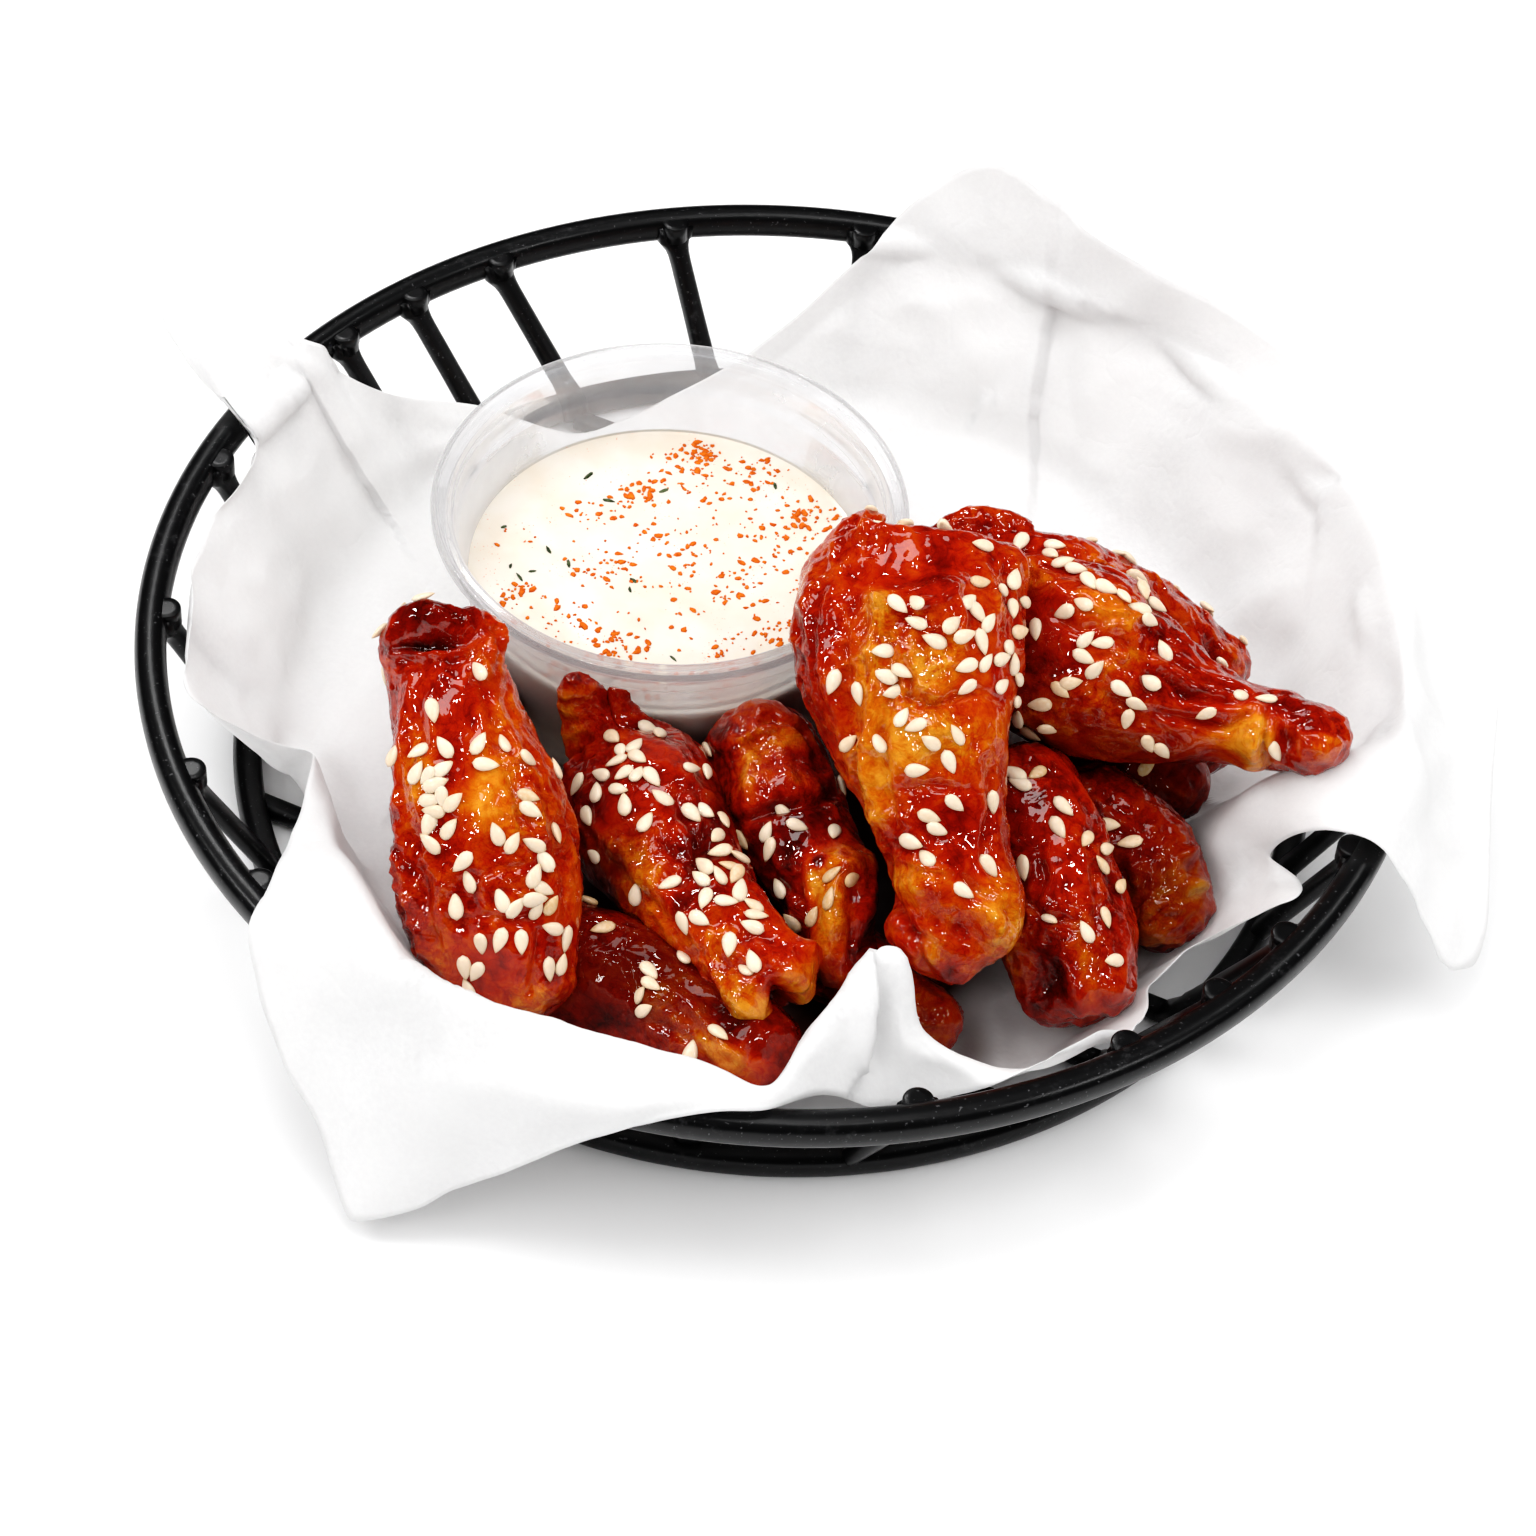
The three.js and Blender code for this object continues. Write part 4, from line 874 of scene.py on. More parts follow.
# Folds in the sheet, placed in the picture frame: the kind, its height in mm, how far its
# faces reach in pixels and the line. A ridge rises to the line, a groove sinks to it, and a
# step is a lap whose left side, looking along the line down the picture, lies higher.
FOLDS = [
    (
        "step", 1.1, 45, (1055, 200), (1057, 243), (1052, 290), (1042, 360), (1036, 420), (1032, 500),
        (1026, 570),
    ),
    ("groove", 1.8, 28, (1060, 300), (1067, 380), (1070, 460), (1068, 540)),
    ("step", 0.7, 26, (1145, 324), (1100, 312), (1056, 292)),
    ("groove", 0.9, 40, (1147, 326), (1176, 362), (1191, 408)),
    ("groove", 0.7, 34, (1238, 348), (1191, 408)),
    ("ridge", 1.5, 60, (1191, 408), (1235, 430), (1300, 436), (1372, 452)),
    ("groove", 1.3, 26, (1372, 455), (1330, 472), (1295, 478)),
    ("step", -0.9, 40, (1375, 453), (1340, 478), (1322, 492), (1318, 530), (1315, 572)),
    ("ridge", 1.3, 44, (1315, 572), (1275, 602), (1240, 640)),
    ("groove", 1.3, 30, (1300, 620), (1275, 660), (1270, 690)),
    ("groove", 1.4, 30, (1395, 640), (1388, 700), (1372, 758)),
    ("ridge", 1.8, 70, (888, 240), (950, 320), (1008, 402)),
    ("groove", 1.2, 60, (880, 330), (930, 400), (950, 480)),
    ("step", -0.7, 30, (1016, 402), (985, 398), (962, 440)),
    ("groove", 0.9, 50, (1200, 560), (1260, 540), (1310, 560)),
    ("step", -1, 50, (300, 366), (340, 440), (375, 500), (430, 592)),
    ("groove", 1.2, 34, (385, 398), (425, 470), (450, 540)),
    ("groove", 1.6, 28, (176, 622), (210, 655), (250, 692)),
    ("ridge", 1, 60, (190, 500), (250, 560), (300, 640)),
    ("ridge", 0.9, 26, (163, 312), (215, 345), (262, 338)),
    ("ridge", 0.8, 30, (285, 345), (292, 400), (320, 440)),
    ("groove", 1.2, 50, (330, 560), (345, 640), (320, 720)),
    ("step", -0.8, 40, (395, 960), (330, 928), (284, 908)),
    ("groove", 1, 26, (300, 890), (284, 910), (270, 965)),
    ("ridge", 1, 60, (330, 1090), (420, 1080), (505, 1086)),
    ("step", 0.4, 24, (384, 1062), (420, 1062), (440, 1045), (436, 1016)),
    ("groove", 0.9, 50, (310, 990), (345, 1010), (380, 1070)),
    ("ridge", 0.9, 50, (300, 1000), (345, 1100), (360, 1190)),
    ("ridge", 0.7, 60, (470, 1000), (500, 1060), (560, 1110)),
    ("step", 2, 26, (876, 950), (870, 1030), (862, 1070), (842, 1098)),
    ("groove", 2, 24, (886, 975), (882, 1050), (886, 1094)),
    ("ridge", 0.6, 20, (1222, 812), (1280, 784), (1380, 768), (1412, 772)),
    ("groove", 1.1, 20, (1442, 786), (1430, 832)),
    ("ridge", 0.9, 22, (1412, 768), (1446, 755), (1446, 700)),
    ("ridge", 0.9, 24, (1450, 756), (1475, 790), (1484, 822)),
    ("groove", 1.1, 24, (1428, 838), (1458, 866), (1476, 850)),
    ("ridge", 0.8, 26, (1446, 880), (1455, 920), (1448, 955)),
    ("groove", 1.1, 24, (1236, 900), (1250, 870), (1246, 840)),
]

# Where the sheet is moved in the picture frame: (x, y, reach, right by, down by) in pixels.
SHEET_NUDGES = [
    (757, 1072, 34, 6, 15), (315, 786, 30, -3, -25), (310, 1125, 60, 14, 0), (385, 1226, 34, -18, -8),
    (595, 1140, 60, 0, -6), (445, 1192, 40, 0, -1), (955, 1010, 44, -28, 16), (1000, 1050, 40, -10, 8),
    (1488, 958, 20, -2, 16), (1436, 956, 16, -3, 12), (232, 384, 34, -36, -40),
    (200, 345, 28, -26, -30),
]

# Dark spots on the paper between the wings, for sauce that ran off them and for painted shade
# in the gaps, as soft ovals: (amount, x, y, half-width, half-height, turn).
SAUCE_AND_SHADE_SPOTS = [
    (1.1, 868, 905, 26, 60), (1.1, 790, 1012, 60, 34), (0.9, 830, 975, 50, 30),
    (0.9, 725, 1065, 50, 30), (1.1, 590, 930, 40, 90, -20), (0.35, 560, 700, 40, 60),
    (0.8, 700, 700, 60, 40), (0.6, 1190, 800, 40, 14), (1, 1120, 900, 30, 60),
]
UNDER_HEAP_AT = (8, -42)  # painted shade and sauce under the middle of the heap
UNDER_HEAP_RADIUS = 34
SPOTS_WITHIN = 70  # of the middle of the patch under the heap
DARKENING_TOP = 26  # the sauce and painted shade reach no higher up the paper


def fold_push(places, kind, height, width, *line):
    """How far a fold moves each place of the sheet."""
    nearest = np.full(len(places), np.inf)
    side, share = np.zeros((2, len(places)))
    for distance, run_side, run_share in off_line(places, line):
        closer = distance < nearest
        nearest[closer] = distance[closer]
        side[closer] = run_side[closer]
        share[closer] = run_share[closer]
    tent = np.clip(1 - nearest / width, 0, 1) * np.sin(math.pi * np.clip(share, 0.1, 0.9))
    return height * tent * {"ridge": 1, "groove": -1, "step": side}[kind]


def pressed(points, normals):
    """The sheet with its folds, its gentle waves and its small crumples."""
    push = sum(height * noise(points, size, seed) for height, size, seed in WAVES)
    for height, size, seed in CRUMPLES:
        push += height * (1 - 2 * np.abs(noise(points, size, seed)))
    places = in_picture(points)
    for fold in FOLDS:
        push += fold_push(places, *fold)
    free = np.clip((np.hypot(points[:, 0], points[:, 1]) - 60) / 20, 0, 1)  # 0 under the food
    return points + normals * (push * (0.12 + 0.88 * free))[:, None]


def sauce_and_shade_on_paper(points):
    """How dark the paper is painted, for sauce and for painted shade: spots beside the wings and a patch
    under them.
    """
    low = np.clip((DARKENING_TOP - points[:, 2]) / 12, 0, 1)
    spots_by_wings = np.clip(ovals(in_picture(points), SAUCE_AND_SHADE_SPOTS) + 0.25 * noise(points, 6, 12), 0, 1) * low
    off_middle = np.hypot(points[:, 0] - UNDER_HEAP_AT[0], points[:, 1] - UNDER_HEAP_AT[1])
    # a darker patch under the heap: painted shade and sauce where the wings lie on the paper
    under_heap = np.clip((UNDER_HEAP_RADIUS - off_middle) / 12 + noise(points, 12, 13), 0, 1) * low
    return np.maximum(spots_by_wings * (off_middle < SPOTS_WITHIN), under_heap)


def liner():
    """The wax paper: a floor, walls that follow the basket and corners that hang out."""
    rows = np.array([
        np.concatenate([polar(*foot, PAPER_FLOOR), polar(*crest), polar(*edge)])
        for foot, crest, edge in SHEET
    ])
    n = len(rows)
    columns = []
    for j in range(SHEET_COLUMNS):
        place = j / SHEET_COLUMNS * n
        i = int(place)
        row = smooth(*(rows[(i + k) % n] for k in (-1, 0, 1, 2)), place - i)
        columns.append(sheet_column(row))
    grid = np.array(columns)  # column, point, xyz
    centre = np.array([0, 0, PAPER_FLOOR])
    shares = np.arange(1, FLOOR_RINGS) / FLOOR_RINGS
    middle = [grid[:, 0] * t + centre * (1 - t) for t in shares]
    grid = np.concatenate([np.stack(middle, axis=1), grid], axis=1)
    depth = grid.shape[1]
    around = np.roll(grid, -1, axis=0) - np.roll(grid, 1, axis=0)
    normals = unit(np.cross(np.gradient(grid, axis=1), around))
    flat = pressed(clear_of_rim(grid.reshape(-1, 3)), normals.reshape(-1, 3))
    flat = clear_of_rim(nudged(flat, SHEET_NUDGES))
    inside = np.hypot(flat[:, 0], flat[:, 1]) < FLOOR_EDGE
    flat[:, 2] = np.maximum(flat[:, 2], np.where(inside, PAPER_FLOOR - 0.3, TABLE_GAP))
    points = np.concatenate([flat, [centre]])
    faces = [(len(flat), j * depth, (j + 1) % SHEET_COLUMNS * depth) for j in range(SHEET_COLUMNS)]
    faces += grid_faces(SHEET_COLUMNS, depth, closed=False, loop=True)
    obj = mesh_object("wax_paper_sheet", points, faces, wax_paper())
    # the paper's dark spots and patch: sauce and painted shade between and under the wings
    keep_values(obj, stain=sauce_and_shade_on_paper(points))
    solid = obj.modifiers.new("thickness", "SOLIDIFY")
    solid.thickness = PAPER_THICKNESS * MM
    solid.offset = 0
    return dress(obj, "paper", "paper_liner")


# ------------------------------------------------------------ cup and dip


def rounded(profile, radius, steps=4):
    """A closed profile with its corners rounded."""
    profile = np.array(profile, float)
    out = []
    for i, at in enumerate(profile):
        back, on = profile[i - 1] - at, profile[(i + 1) % len(profile)] - at
        r = min(radius, 0.45 * np.linalg.norm(back), 0.45 * np.linalg.norm(on))
        start, end = at + unit(back) * r, at + unit(on) * r
        for t in np.linspace(0, 1, steps + 1):
            out.append(start * (1 - t) ** 2 + at * 2 * t * (1 - t) + end * t * t)
    return np.array(out)


def cup():
    """The clear cup: a foot ring, a tapering wall, a shoulder and a beaded flange."""
    wall = CUP_WALL * 0.75
    outside = [
        (0.01, 0.7),
        (CUP_FOOT - 4, 0.7),
        (CUP_FOOT - 3, 0),
        (CUP_FOOT - 0.2, 0),
        (CUP_FOOT, 0.6),
        (CUP_SHOULDER, SHOULDER_HEIGHT),
        (CUP_MOUTH - 0.4, SHOULDER_HEIGHT + 1.2),
        (CUP_MOUTH, CUP_HEIGHT - 2.4),
    ]
    flange = [
        (CUP_FLANGE - 0.4, CUP_HEIGHT - 2.2),
        (CUP_FLANGE, CUP_HEIGHT - 1.6),
        (CUP_FLANGE, CUP_HEIGHT - 0.4),
        (CUP_FLANGE - 0.5, CUP_HEIGHT),
        (CUP_FLANGE - 1.0, CUP_HEIGHT - 0.1),
        (CUP_FLANGE - 1.3, CUP_HEIGHT - 0.55),
    ]
    inside = [
        (CUP_MOUTH - wall + 0.5, CUP_HEIGHT - 0.4),
        (CUP_MOUTH - wall, CUP_HEIGHT - 0.8),
        (CUP_MOUTH - wall - 0.1, CUP_HEIGHT - 2.4),
        (CUP_MOUTH - wall - 0.7, CUP_HEIGHT - 2.8),
        (CUP_MOUTH - wall - 0.8, SHOULDER_HEIGHT + 1.5),
        (CUP_SHOULDER - wall, SHOULDER_HEIGHT + 0.3),
        (CUP_FOOT - wall, 1.6),
        (0.01, 1.5),
    ]
    points, faces = turned(*rounded(outside + flange + inside, 0.3).T, 160)
    outward = [(a, d, c, b) for a, b, c, d in faces]
    return dress(mesh_object("clear_cup", points + CUP_BASE, outward, clear_plastic()), "cup", "dip_cup")


def dip_radius(height):
    """How far the dip reaches at a height above the cup's floor: just into the wall."""
    return CUP_FOOT + (CUP_SHOULDER - CUP_FOOT) * height / SHOULDER_HEIGHT - CUP_WALL * 0.75 + 0.3


def dip():
    """The dip, level but for a few slow ripples and a lip where it wets the cup."""
    level = DIP_LEVEL - CUP_FLOOR
    flat = disc(200)
    heights = [1.3, 1.6, *np.linspace(3, level + 0.35, 16)]
    rings = [flat * dip_radius(height) + [0, 0, height] for height in heights]
    outer = dip_radius(level)
    for r in np.linspace(1, 0.02, 60) ** 0.8:
        surface = flat * outer * r + [0, 0, level]
        swell = 0.22 * noise(surface, 9, 3) + 0.12 * noise(surface, 4, 4)
        lip = 0.4 * math.exp(-(1 - r) * outer / 0.7)
        surface[:, 2] += swell * min(1, (1 - r) * 6) + lip
        rings.append(surface)
    rings = [r + CUP_BASE for r in rings]
    points, faces = capped(rings, CUP_BASE + [0, 0, heights[0]], rings[-1].mean(axis=0))
    return dress(mesh_object("white_dip", points, faces, white_dip()), "dip", "ranch_dip")


# Where paprika fell: centre in shares of the dip's radius, spread and how many flecks.
PAPRIKA_DRIFTS = [
    (0.12, 0.9, 0.1, 26), (0, 0.78, 0.2, 16), (0.45, 0.72, 0.2, 22), (0.75, 0.45, 0.14, 18),
    (-0.2, 0.55, 0.16, 18), (0.2, 0.6, 0.2, 16), (0.55, 0.3, 0.2, 22), (-0.45, 0.35, 0.14, 10),
    (0.1, 0.2, 0.2, 14), (0.75, 0, 0.14, 14), (0.4, -0.1, 0.2, 18), (-0.3, -0.05, 0.16, 14),
    (-0.75, -0.3, 0.12, 16), (-0.78, -0.55, 0.08, 12), (-0.45, -0.45, 0.18, 20), (-0.2, -0.6, 0.14, 20),
    (-0.5, -0.8, 0.1, 16), (-0.05, -0.85, 0.14, 18), (0.35, -0.6, 0.2, 18), (0.6, -0.4, 0.14, 14),
    (0.3, -0.85, 0.14, 12), (-0.8, 0.15, 0.1, 4), (0, 0, 0.5, 40),
]

FLECKS_PER_SHARE = 2
HERB_BITS = 16


def flecks(name, places, material, sink=0.05):
    """Small flat flakes of uneven outline lying on the dip."""
    draw = seeded_random(len(places))
    sides = 7
    pieces = []
    for centre, size, stretch, turn in places:
        a = (np.arange(sides) + 0.4 * draw()) / sides * 2 * math.pi
        reach = size / 2 * np.array([0.7 + 0.6 * draw() for _ in range(sides)])
        x, y = reach * np.cos(a) * stretch, reach * np.sin(a)
        c, s = math.cos(turn), math.sin(turn)
        outline = np.stack([x * c - y * s, x * s + y * c, 0 * x], axis=1)
        high = 0.1 + 0.12 * size
        rings = [centre + outline + [0, 0, -sink], centre + outline * 0.8 + [0, 0, high * 0.8]]
        pieces.append(capped(rings, centre + [0, 0, -sink], centre + [0, 0, high]))
    points, faces = joined(pieces)
    return dress(mesh_object(name, points, faces, material), "dip")


def dip_surface(tree, x, y):
    """The point of the dip's surface over a place, in millimetres."""
    top = Vector(((CUP_AT[0] + x) * MM, (CUP_AT[1] + y) * MM, ABOVE_CUP * MM))
    hit = tree.ray_cast(top, Vector((0, 0, -1)))[0]
    return np.array(hit) / MM


def seasoning(dip_object):
    """Drifts of paprika over the dip and a few bits of herb."""
    tree = bvh_of(dip_object)
    draw = seeded_random(11)
    reach = dip_radius(DIP_LEVEL - CUP_FLOOR) - 1.2
    paprika = []
    for u, v, spread, count in PAPRIKA_DRIFTS:
        for _ in range(count * FLECKS_PER_SHARE):
            x = u + (draw() + draw() + draw() - 1.5) * spread
            y = v + (draw() + draw() + draw() - 1.5) * spread
            size = 0.3 + 0.85 * draw() ** 2.2
            stretch, turn = 1 + 0.8 * draw(), 6.3 * draw()
            if x * x + y * y < 1:
                paprika.append((dip_surface(tree, x * reach, y * reach), size, stretch, turn))
    flecks("paprika_flecks", paprika, spice("paprika", (0.78, 0.18, 0.012), (0.6, 0.085, 0.006)))
    herbs = []
    for _ in range(HERB_BITS):
        r, t = math.sqrt(draw()) * 0.92, 6.3 * draw()
        x, y = r * math.cos(t) * reach, r * math.sin(t) * reach
        herbs.append((dip_surface(tree, x, y), 0.5 + 0.3 * draw(), 2.2 + 2 * draw(), 6.3 * draw()))
    flecks("herb_flecks", herbs, spice("herb", (0.1, 0.13, 0.06), (0.03, 0.04, 0.02)), sink=0.15)


# ------------------------------------------------------------ wings

WING_FLOOR = PAPER_FLOOR + 0.35
WALL_RADIUS = 77.5
WALL_LEAN = 0.5

# The wings, as the solids have them: spine, half-widths, how far the ends bulge (ends) and
# sink in (hollow), bumps (place along, angle round, height, length, width in degrees) and
# flaps of skin. tone makes a wing darker or more orange, and paint changes it where the
# picture doesn't look: (place, angle, length, width, change of tone).
WINGS = [
    dict(
        name="wing_left_tall", spine=[(-50, -31, 50), (-45, -45, 42), (-40, -58, 32), (-36, -69, 20)],
        wide=[7.4, 9.2, 11.4, 12.2, 10], deep=[6.6, 8.4, 9.6, 9.8, 8], ends=(4.2, 6.5), hollow=(0.6, 0),
        bumps=[(-0.05, 20, 2, 0.1, 40), (0.5, 180, 1.4, 0.2, 30), (0.75, 0, 1.2, 0.2, 40)], tone=0.55,
        paint=[
            (0.1, 90, 0.2, 45, -0.2), (0.45, 60, 0.25, 30, 0.25), (0.5, 125, 0.2, 20, 0.2),
            (0.5, 10, 0.6, 30, -0.3), (0.9, 60, 0.15, 40, -0.15),
        ],
    ),
    dict(
        name="wing_front_left", spine=[(-21, -31, 20), (-15, -45, 23.5), (-7, -58, 25), (2, -69, 23.5)],
        wide=[12.2, 11.4, 9, 7.4, 7.6], deep=[10.5, 9.6, 7.6, 6.2, 6], ends=(8, 3.6), hollow=(0, 1.5),
        bumps=[(1.02, 0, 1.8, 0.08, 40), (1.02, 180, 1.8, 0.08, 40), (0.2, 60, 1, 0.15, 50)],
        flaps=[
            dict(
                spine=[(-26, -26, 26), (-29, -24, 32), (-31, -24, 37)], wide=[5.5, 4, 1.6],
                deep=[2.4, 1.8, 1],
            ),
            dict(
                spine=[(-20, -25, 27), (-22, -22, 31), (-23, -21, 34.5)], wide=[4.5, 3.4, 1.6],
                deep=[2.2, 1.6, 1],
            ),
        ],
        tone=0.46,
        paint=[(0.1, 90, 0.2, 60, -0.12), (0.95, 90, 0.14, 80, 0.35), (-0.1, 40, 0.1, 40, 0.2)],
    ),
    dict(
        name="wing_front_low",
        spine=[(-29, -60, 15.5), (-16, -67, 15.5), (-5, -74, 16), (2, -78, 16.5)],
        wide=[9, 9.6, 9, 8.4, 7.6], deep=[8, 8.6, 8.4, 7.8, 6.6], ends=(7, 5),
        bumps=[(0.9, 90, 1.2, 0.12, 50)], tone=0.3, paint=[(0.9, 90, 0.2, 60, 0.2)],
    ),
    dict(
        name="wing_centre", spine=[(-1, -23, 21), (4, -36, 20.5), (9, -47, 19), (12.5, -57, 16.5)],
        wide=[8.6, 8.8, 7.6, 5.6, 4.4], deep=[8.6, 8.8, 7.4, 6, 4.8], ends=(7, 3),
        bumps=[(0, 90, 1.6, 0.12, 60), (0.3, 60, 1.5, 0.1, 40), (0.8, 120, 1.2, 0.1, 40)], tone=0.42,
        paint=[(0, 90, 0.2, 60, -0.05), (0.28, 90, 0.12, 60, 0.15), (0.85, 120, 0.2, 60, 0.35)],
    ),
    dict(
        name="wing_centre_big", spine=[(18, -9, 51), (20, -27, 45.5), (24, -42, 38), (28, -55, 28)],
        wide=[15, 17, 13.2, 9.6, 9.8], deep=[10.5, 13, 11, 8.6, 8.2], ends=(5.5, 6.5), hollow=(6.5, 0),
        bumps=[
            (0.02, 175, 3.4, 0.1, 26), (0.2, 100, 2.2, 0.08, 16), (1, 30, 1.6, 0.1, 40),
            (1, 150, 1.6, 0.1, 40),
        ],
        flaps=[
            dict(
                spine=[(12, -11, 51), (9, -9, 53.5), (12, -6, 55.5)], wide=[5, 3.8, 2],
                deep=[3, 2.4, 1.4],
            ),
        ],
        tone=0.55,
        paint=[
            (0.05, 90, 0.1, 60, -0.3), (0.2, 20, 0.25, 35, -0.1), (0.4, 95, 0.25, 40, 0.2),
            (0.95, 90, 0.12, 70, 0.3), (0.75, 130, 0.15, 30, -0.25),
        ],
    ),
    dict(
        name="wing_right_long", spine=[(36, -5, 38), (50, -14, 37), (65, -19, 35.5), (80, -21, 36)],
        wide=[12.5, 14.5, 10.5, 6.4, 6], deep=[10.5, 11.5, 9, 6.2, 5.8], ends=(8, 8), hollow=(0, 1.2),
        bumps=[(0.3, 120, 1.6, 0.15, 40), (0.95, 200, 1.2, 0.08, 50), (1.05, 60, 1.4, 0.1, 50)],
        tone=0.42,
        paint=[
            (0.25, 120, 0.2, 30, 0.15), (0.3, 30, 0.3, 40, -0.25), (0.9, 70, 0.1, 40, 0.5),
            (1.1, 90, 0.08, 80, -0.1),
        ],
    ),
    dict(
        name="wing_back_right", spine=[(28, 1, 43.5), (42, 0, 40), (56, 2, 32), (69, 2, 23)],
        wide=[6.6, 7.6, 8, 7, 5.6], deep=[6, 7.2, 7.6, 6.6, 5.4], ends=(6, 5), hollow=(3, 0),
        bumps=[(0.35, 150, 1.4, 0.12, 40)],
        flaps=[
            dict(
                spine=[(23, 1, 46), (29, 3, 47.5), (36, 2.5, 47)], wide=[3.8, 4.2, 3.8],
                deep=[2, 1.8, 1.6],
            ),
        ],
        tone=0.42, paint=[(0.1, 90, 0.2, 60, 0.1), (0.8, 90, 0.2, 60, 0.1)],
    ),
    dict(
        name="wing_front_right", spine=[(38, -29, 25), (43, -40, 22), (46, -50, 19), (48.5, -59, 15)],
        wide=[8.8, 9.2, 8.8, 9.4, 8.2], deep=[8, 8.6, 8.4, 8.2, 7.4], ends=(7, 5.5), hollow=(0, 2.5),
        bumps=[(0.05, 20, 1.6, 0.15, 50), (0.6, 200, 1, 0.15, 40)], tone=0.42,
        paint=[(0.3, 120, 0.2, 40, 0.1), (0.9, 60, 0.12, 40, -0.3)],
    ),
    dict(
        name="wing_right_low", spine=[(50, -24, 17), (55, -30, 16), (60, -36, 14.5), (63, -41, 13)],
        wide=[8.2, 9, 9, 8, 6.4], deep=[7.6, 8.4, 8.2, 7.4, 6], ends=(6, 4.5),
        bumps=[(0.7, 20, 2, 0.12, 25), (0.95, 60, 1.8, 0.1, 30), (0.9, 330, 1.6, 0.1, 25)], tone=0.34,
        paint=[(0.8, 160, 0.2, 40, 0.2)],
    ),
    dict(
        name="wing_right_under", spine=[(49, -8, 17), (57, -13, 17), (64, -17, 16)],
        wide=[7.4, 8, 7.8, 6.8, 5.6], deep=[7.2, 7.8, 7.4, 6.4, 5.4], ends=(6, 4),
        bumps=[(0.6, 90, 1.2, 0.15, 50)], tone=0.28,
    ),
    dict(
        name="wing_front_under", spine=[(9, -52, 11.5), (18, -57, 11.5), (27, -64, 11.5)],
        wide=[6, 6.4, 6.2, 5.6, 4.8], deep=[5.8, 6.2, 6, 5.4, 4.6], ends=(5, 4),
        bumps=[(0.5, 90, 1, 0.2, 60)], tone=0.4,
    ),
    dict(
        name="wing_left_bottom", spine=[(-51, -4, 13), (-49, -18, 18), (-45, -33, 20), (-39, -45, 18)],
        wide=[7.4, 8.6, 8.8, 8.2, 7], deep=[7, 8.2, 8.8, 8, 6.6], ends=(6, 5), tone=0.36,
    ),
    dict(
        name="wing_centre_bottom", spine=[(22, 9, 14), (22, -4, 23), (23, -19, 27), (26, -33, 21)],
        wide=[8.6, 10, 10.6, 9.6, 7.6], deep=[8, 9.6, 10, 9, 7], ends=(6, 5), tone=0.4,
    ),
    dict(
        name="wing_right_bottom", spine=[(35, 13, 13), (44, 7, 20), (56, 2, 18), (69, -4, 14)],
        wide=[7.4, 8.8, 9, 8.2, 6.4], deep=[7, 8.4, 8.6, 7.6, 6], ends=(6, 5), tone=0.38,
    ),
]
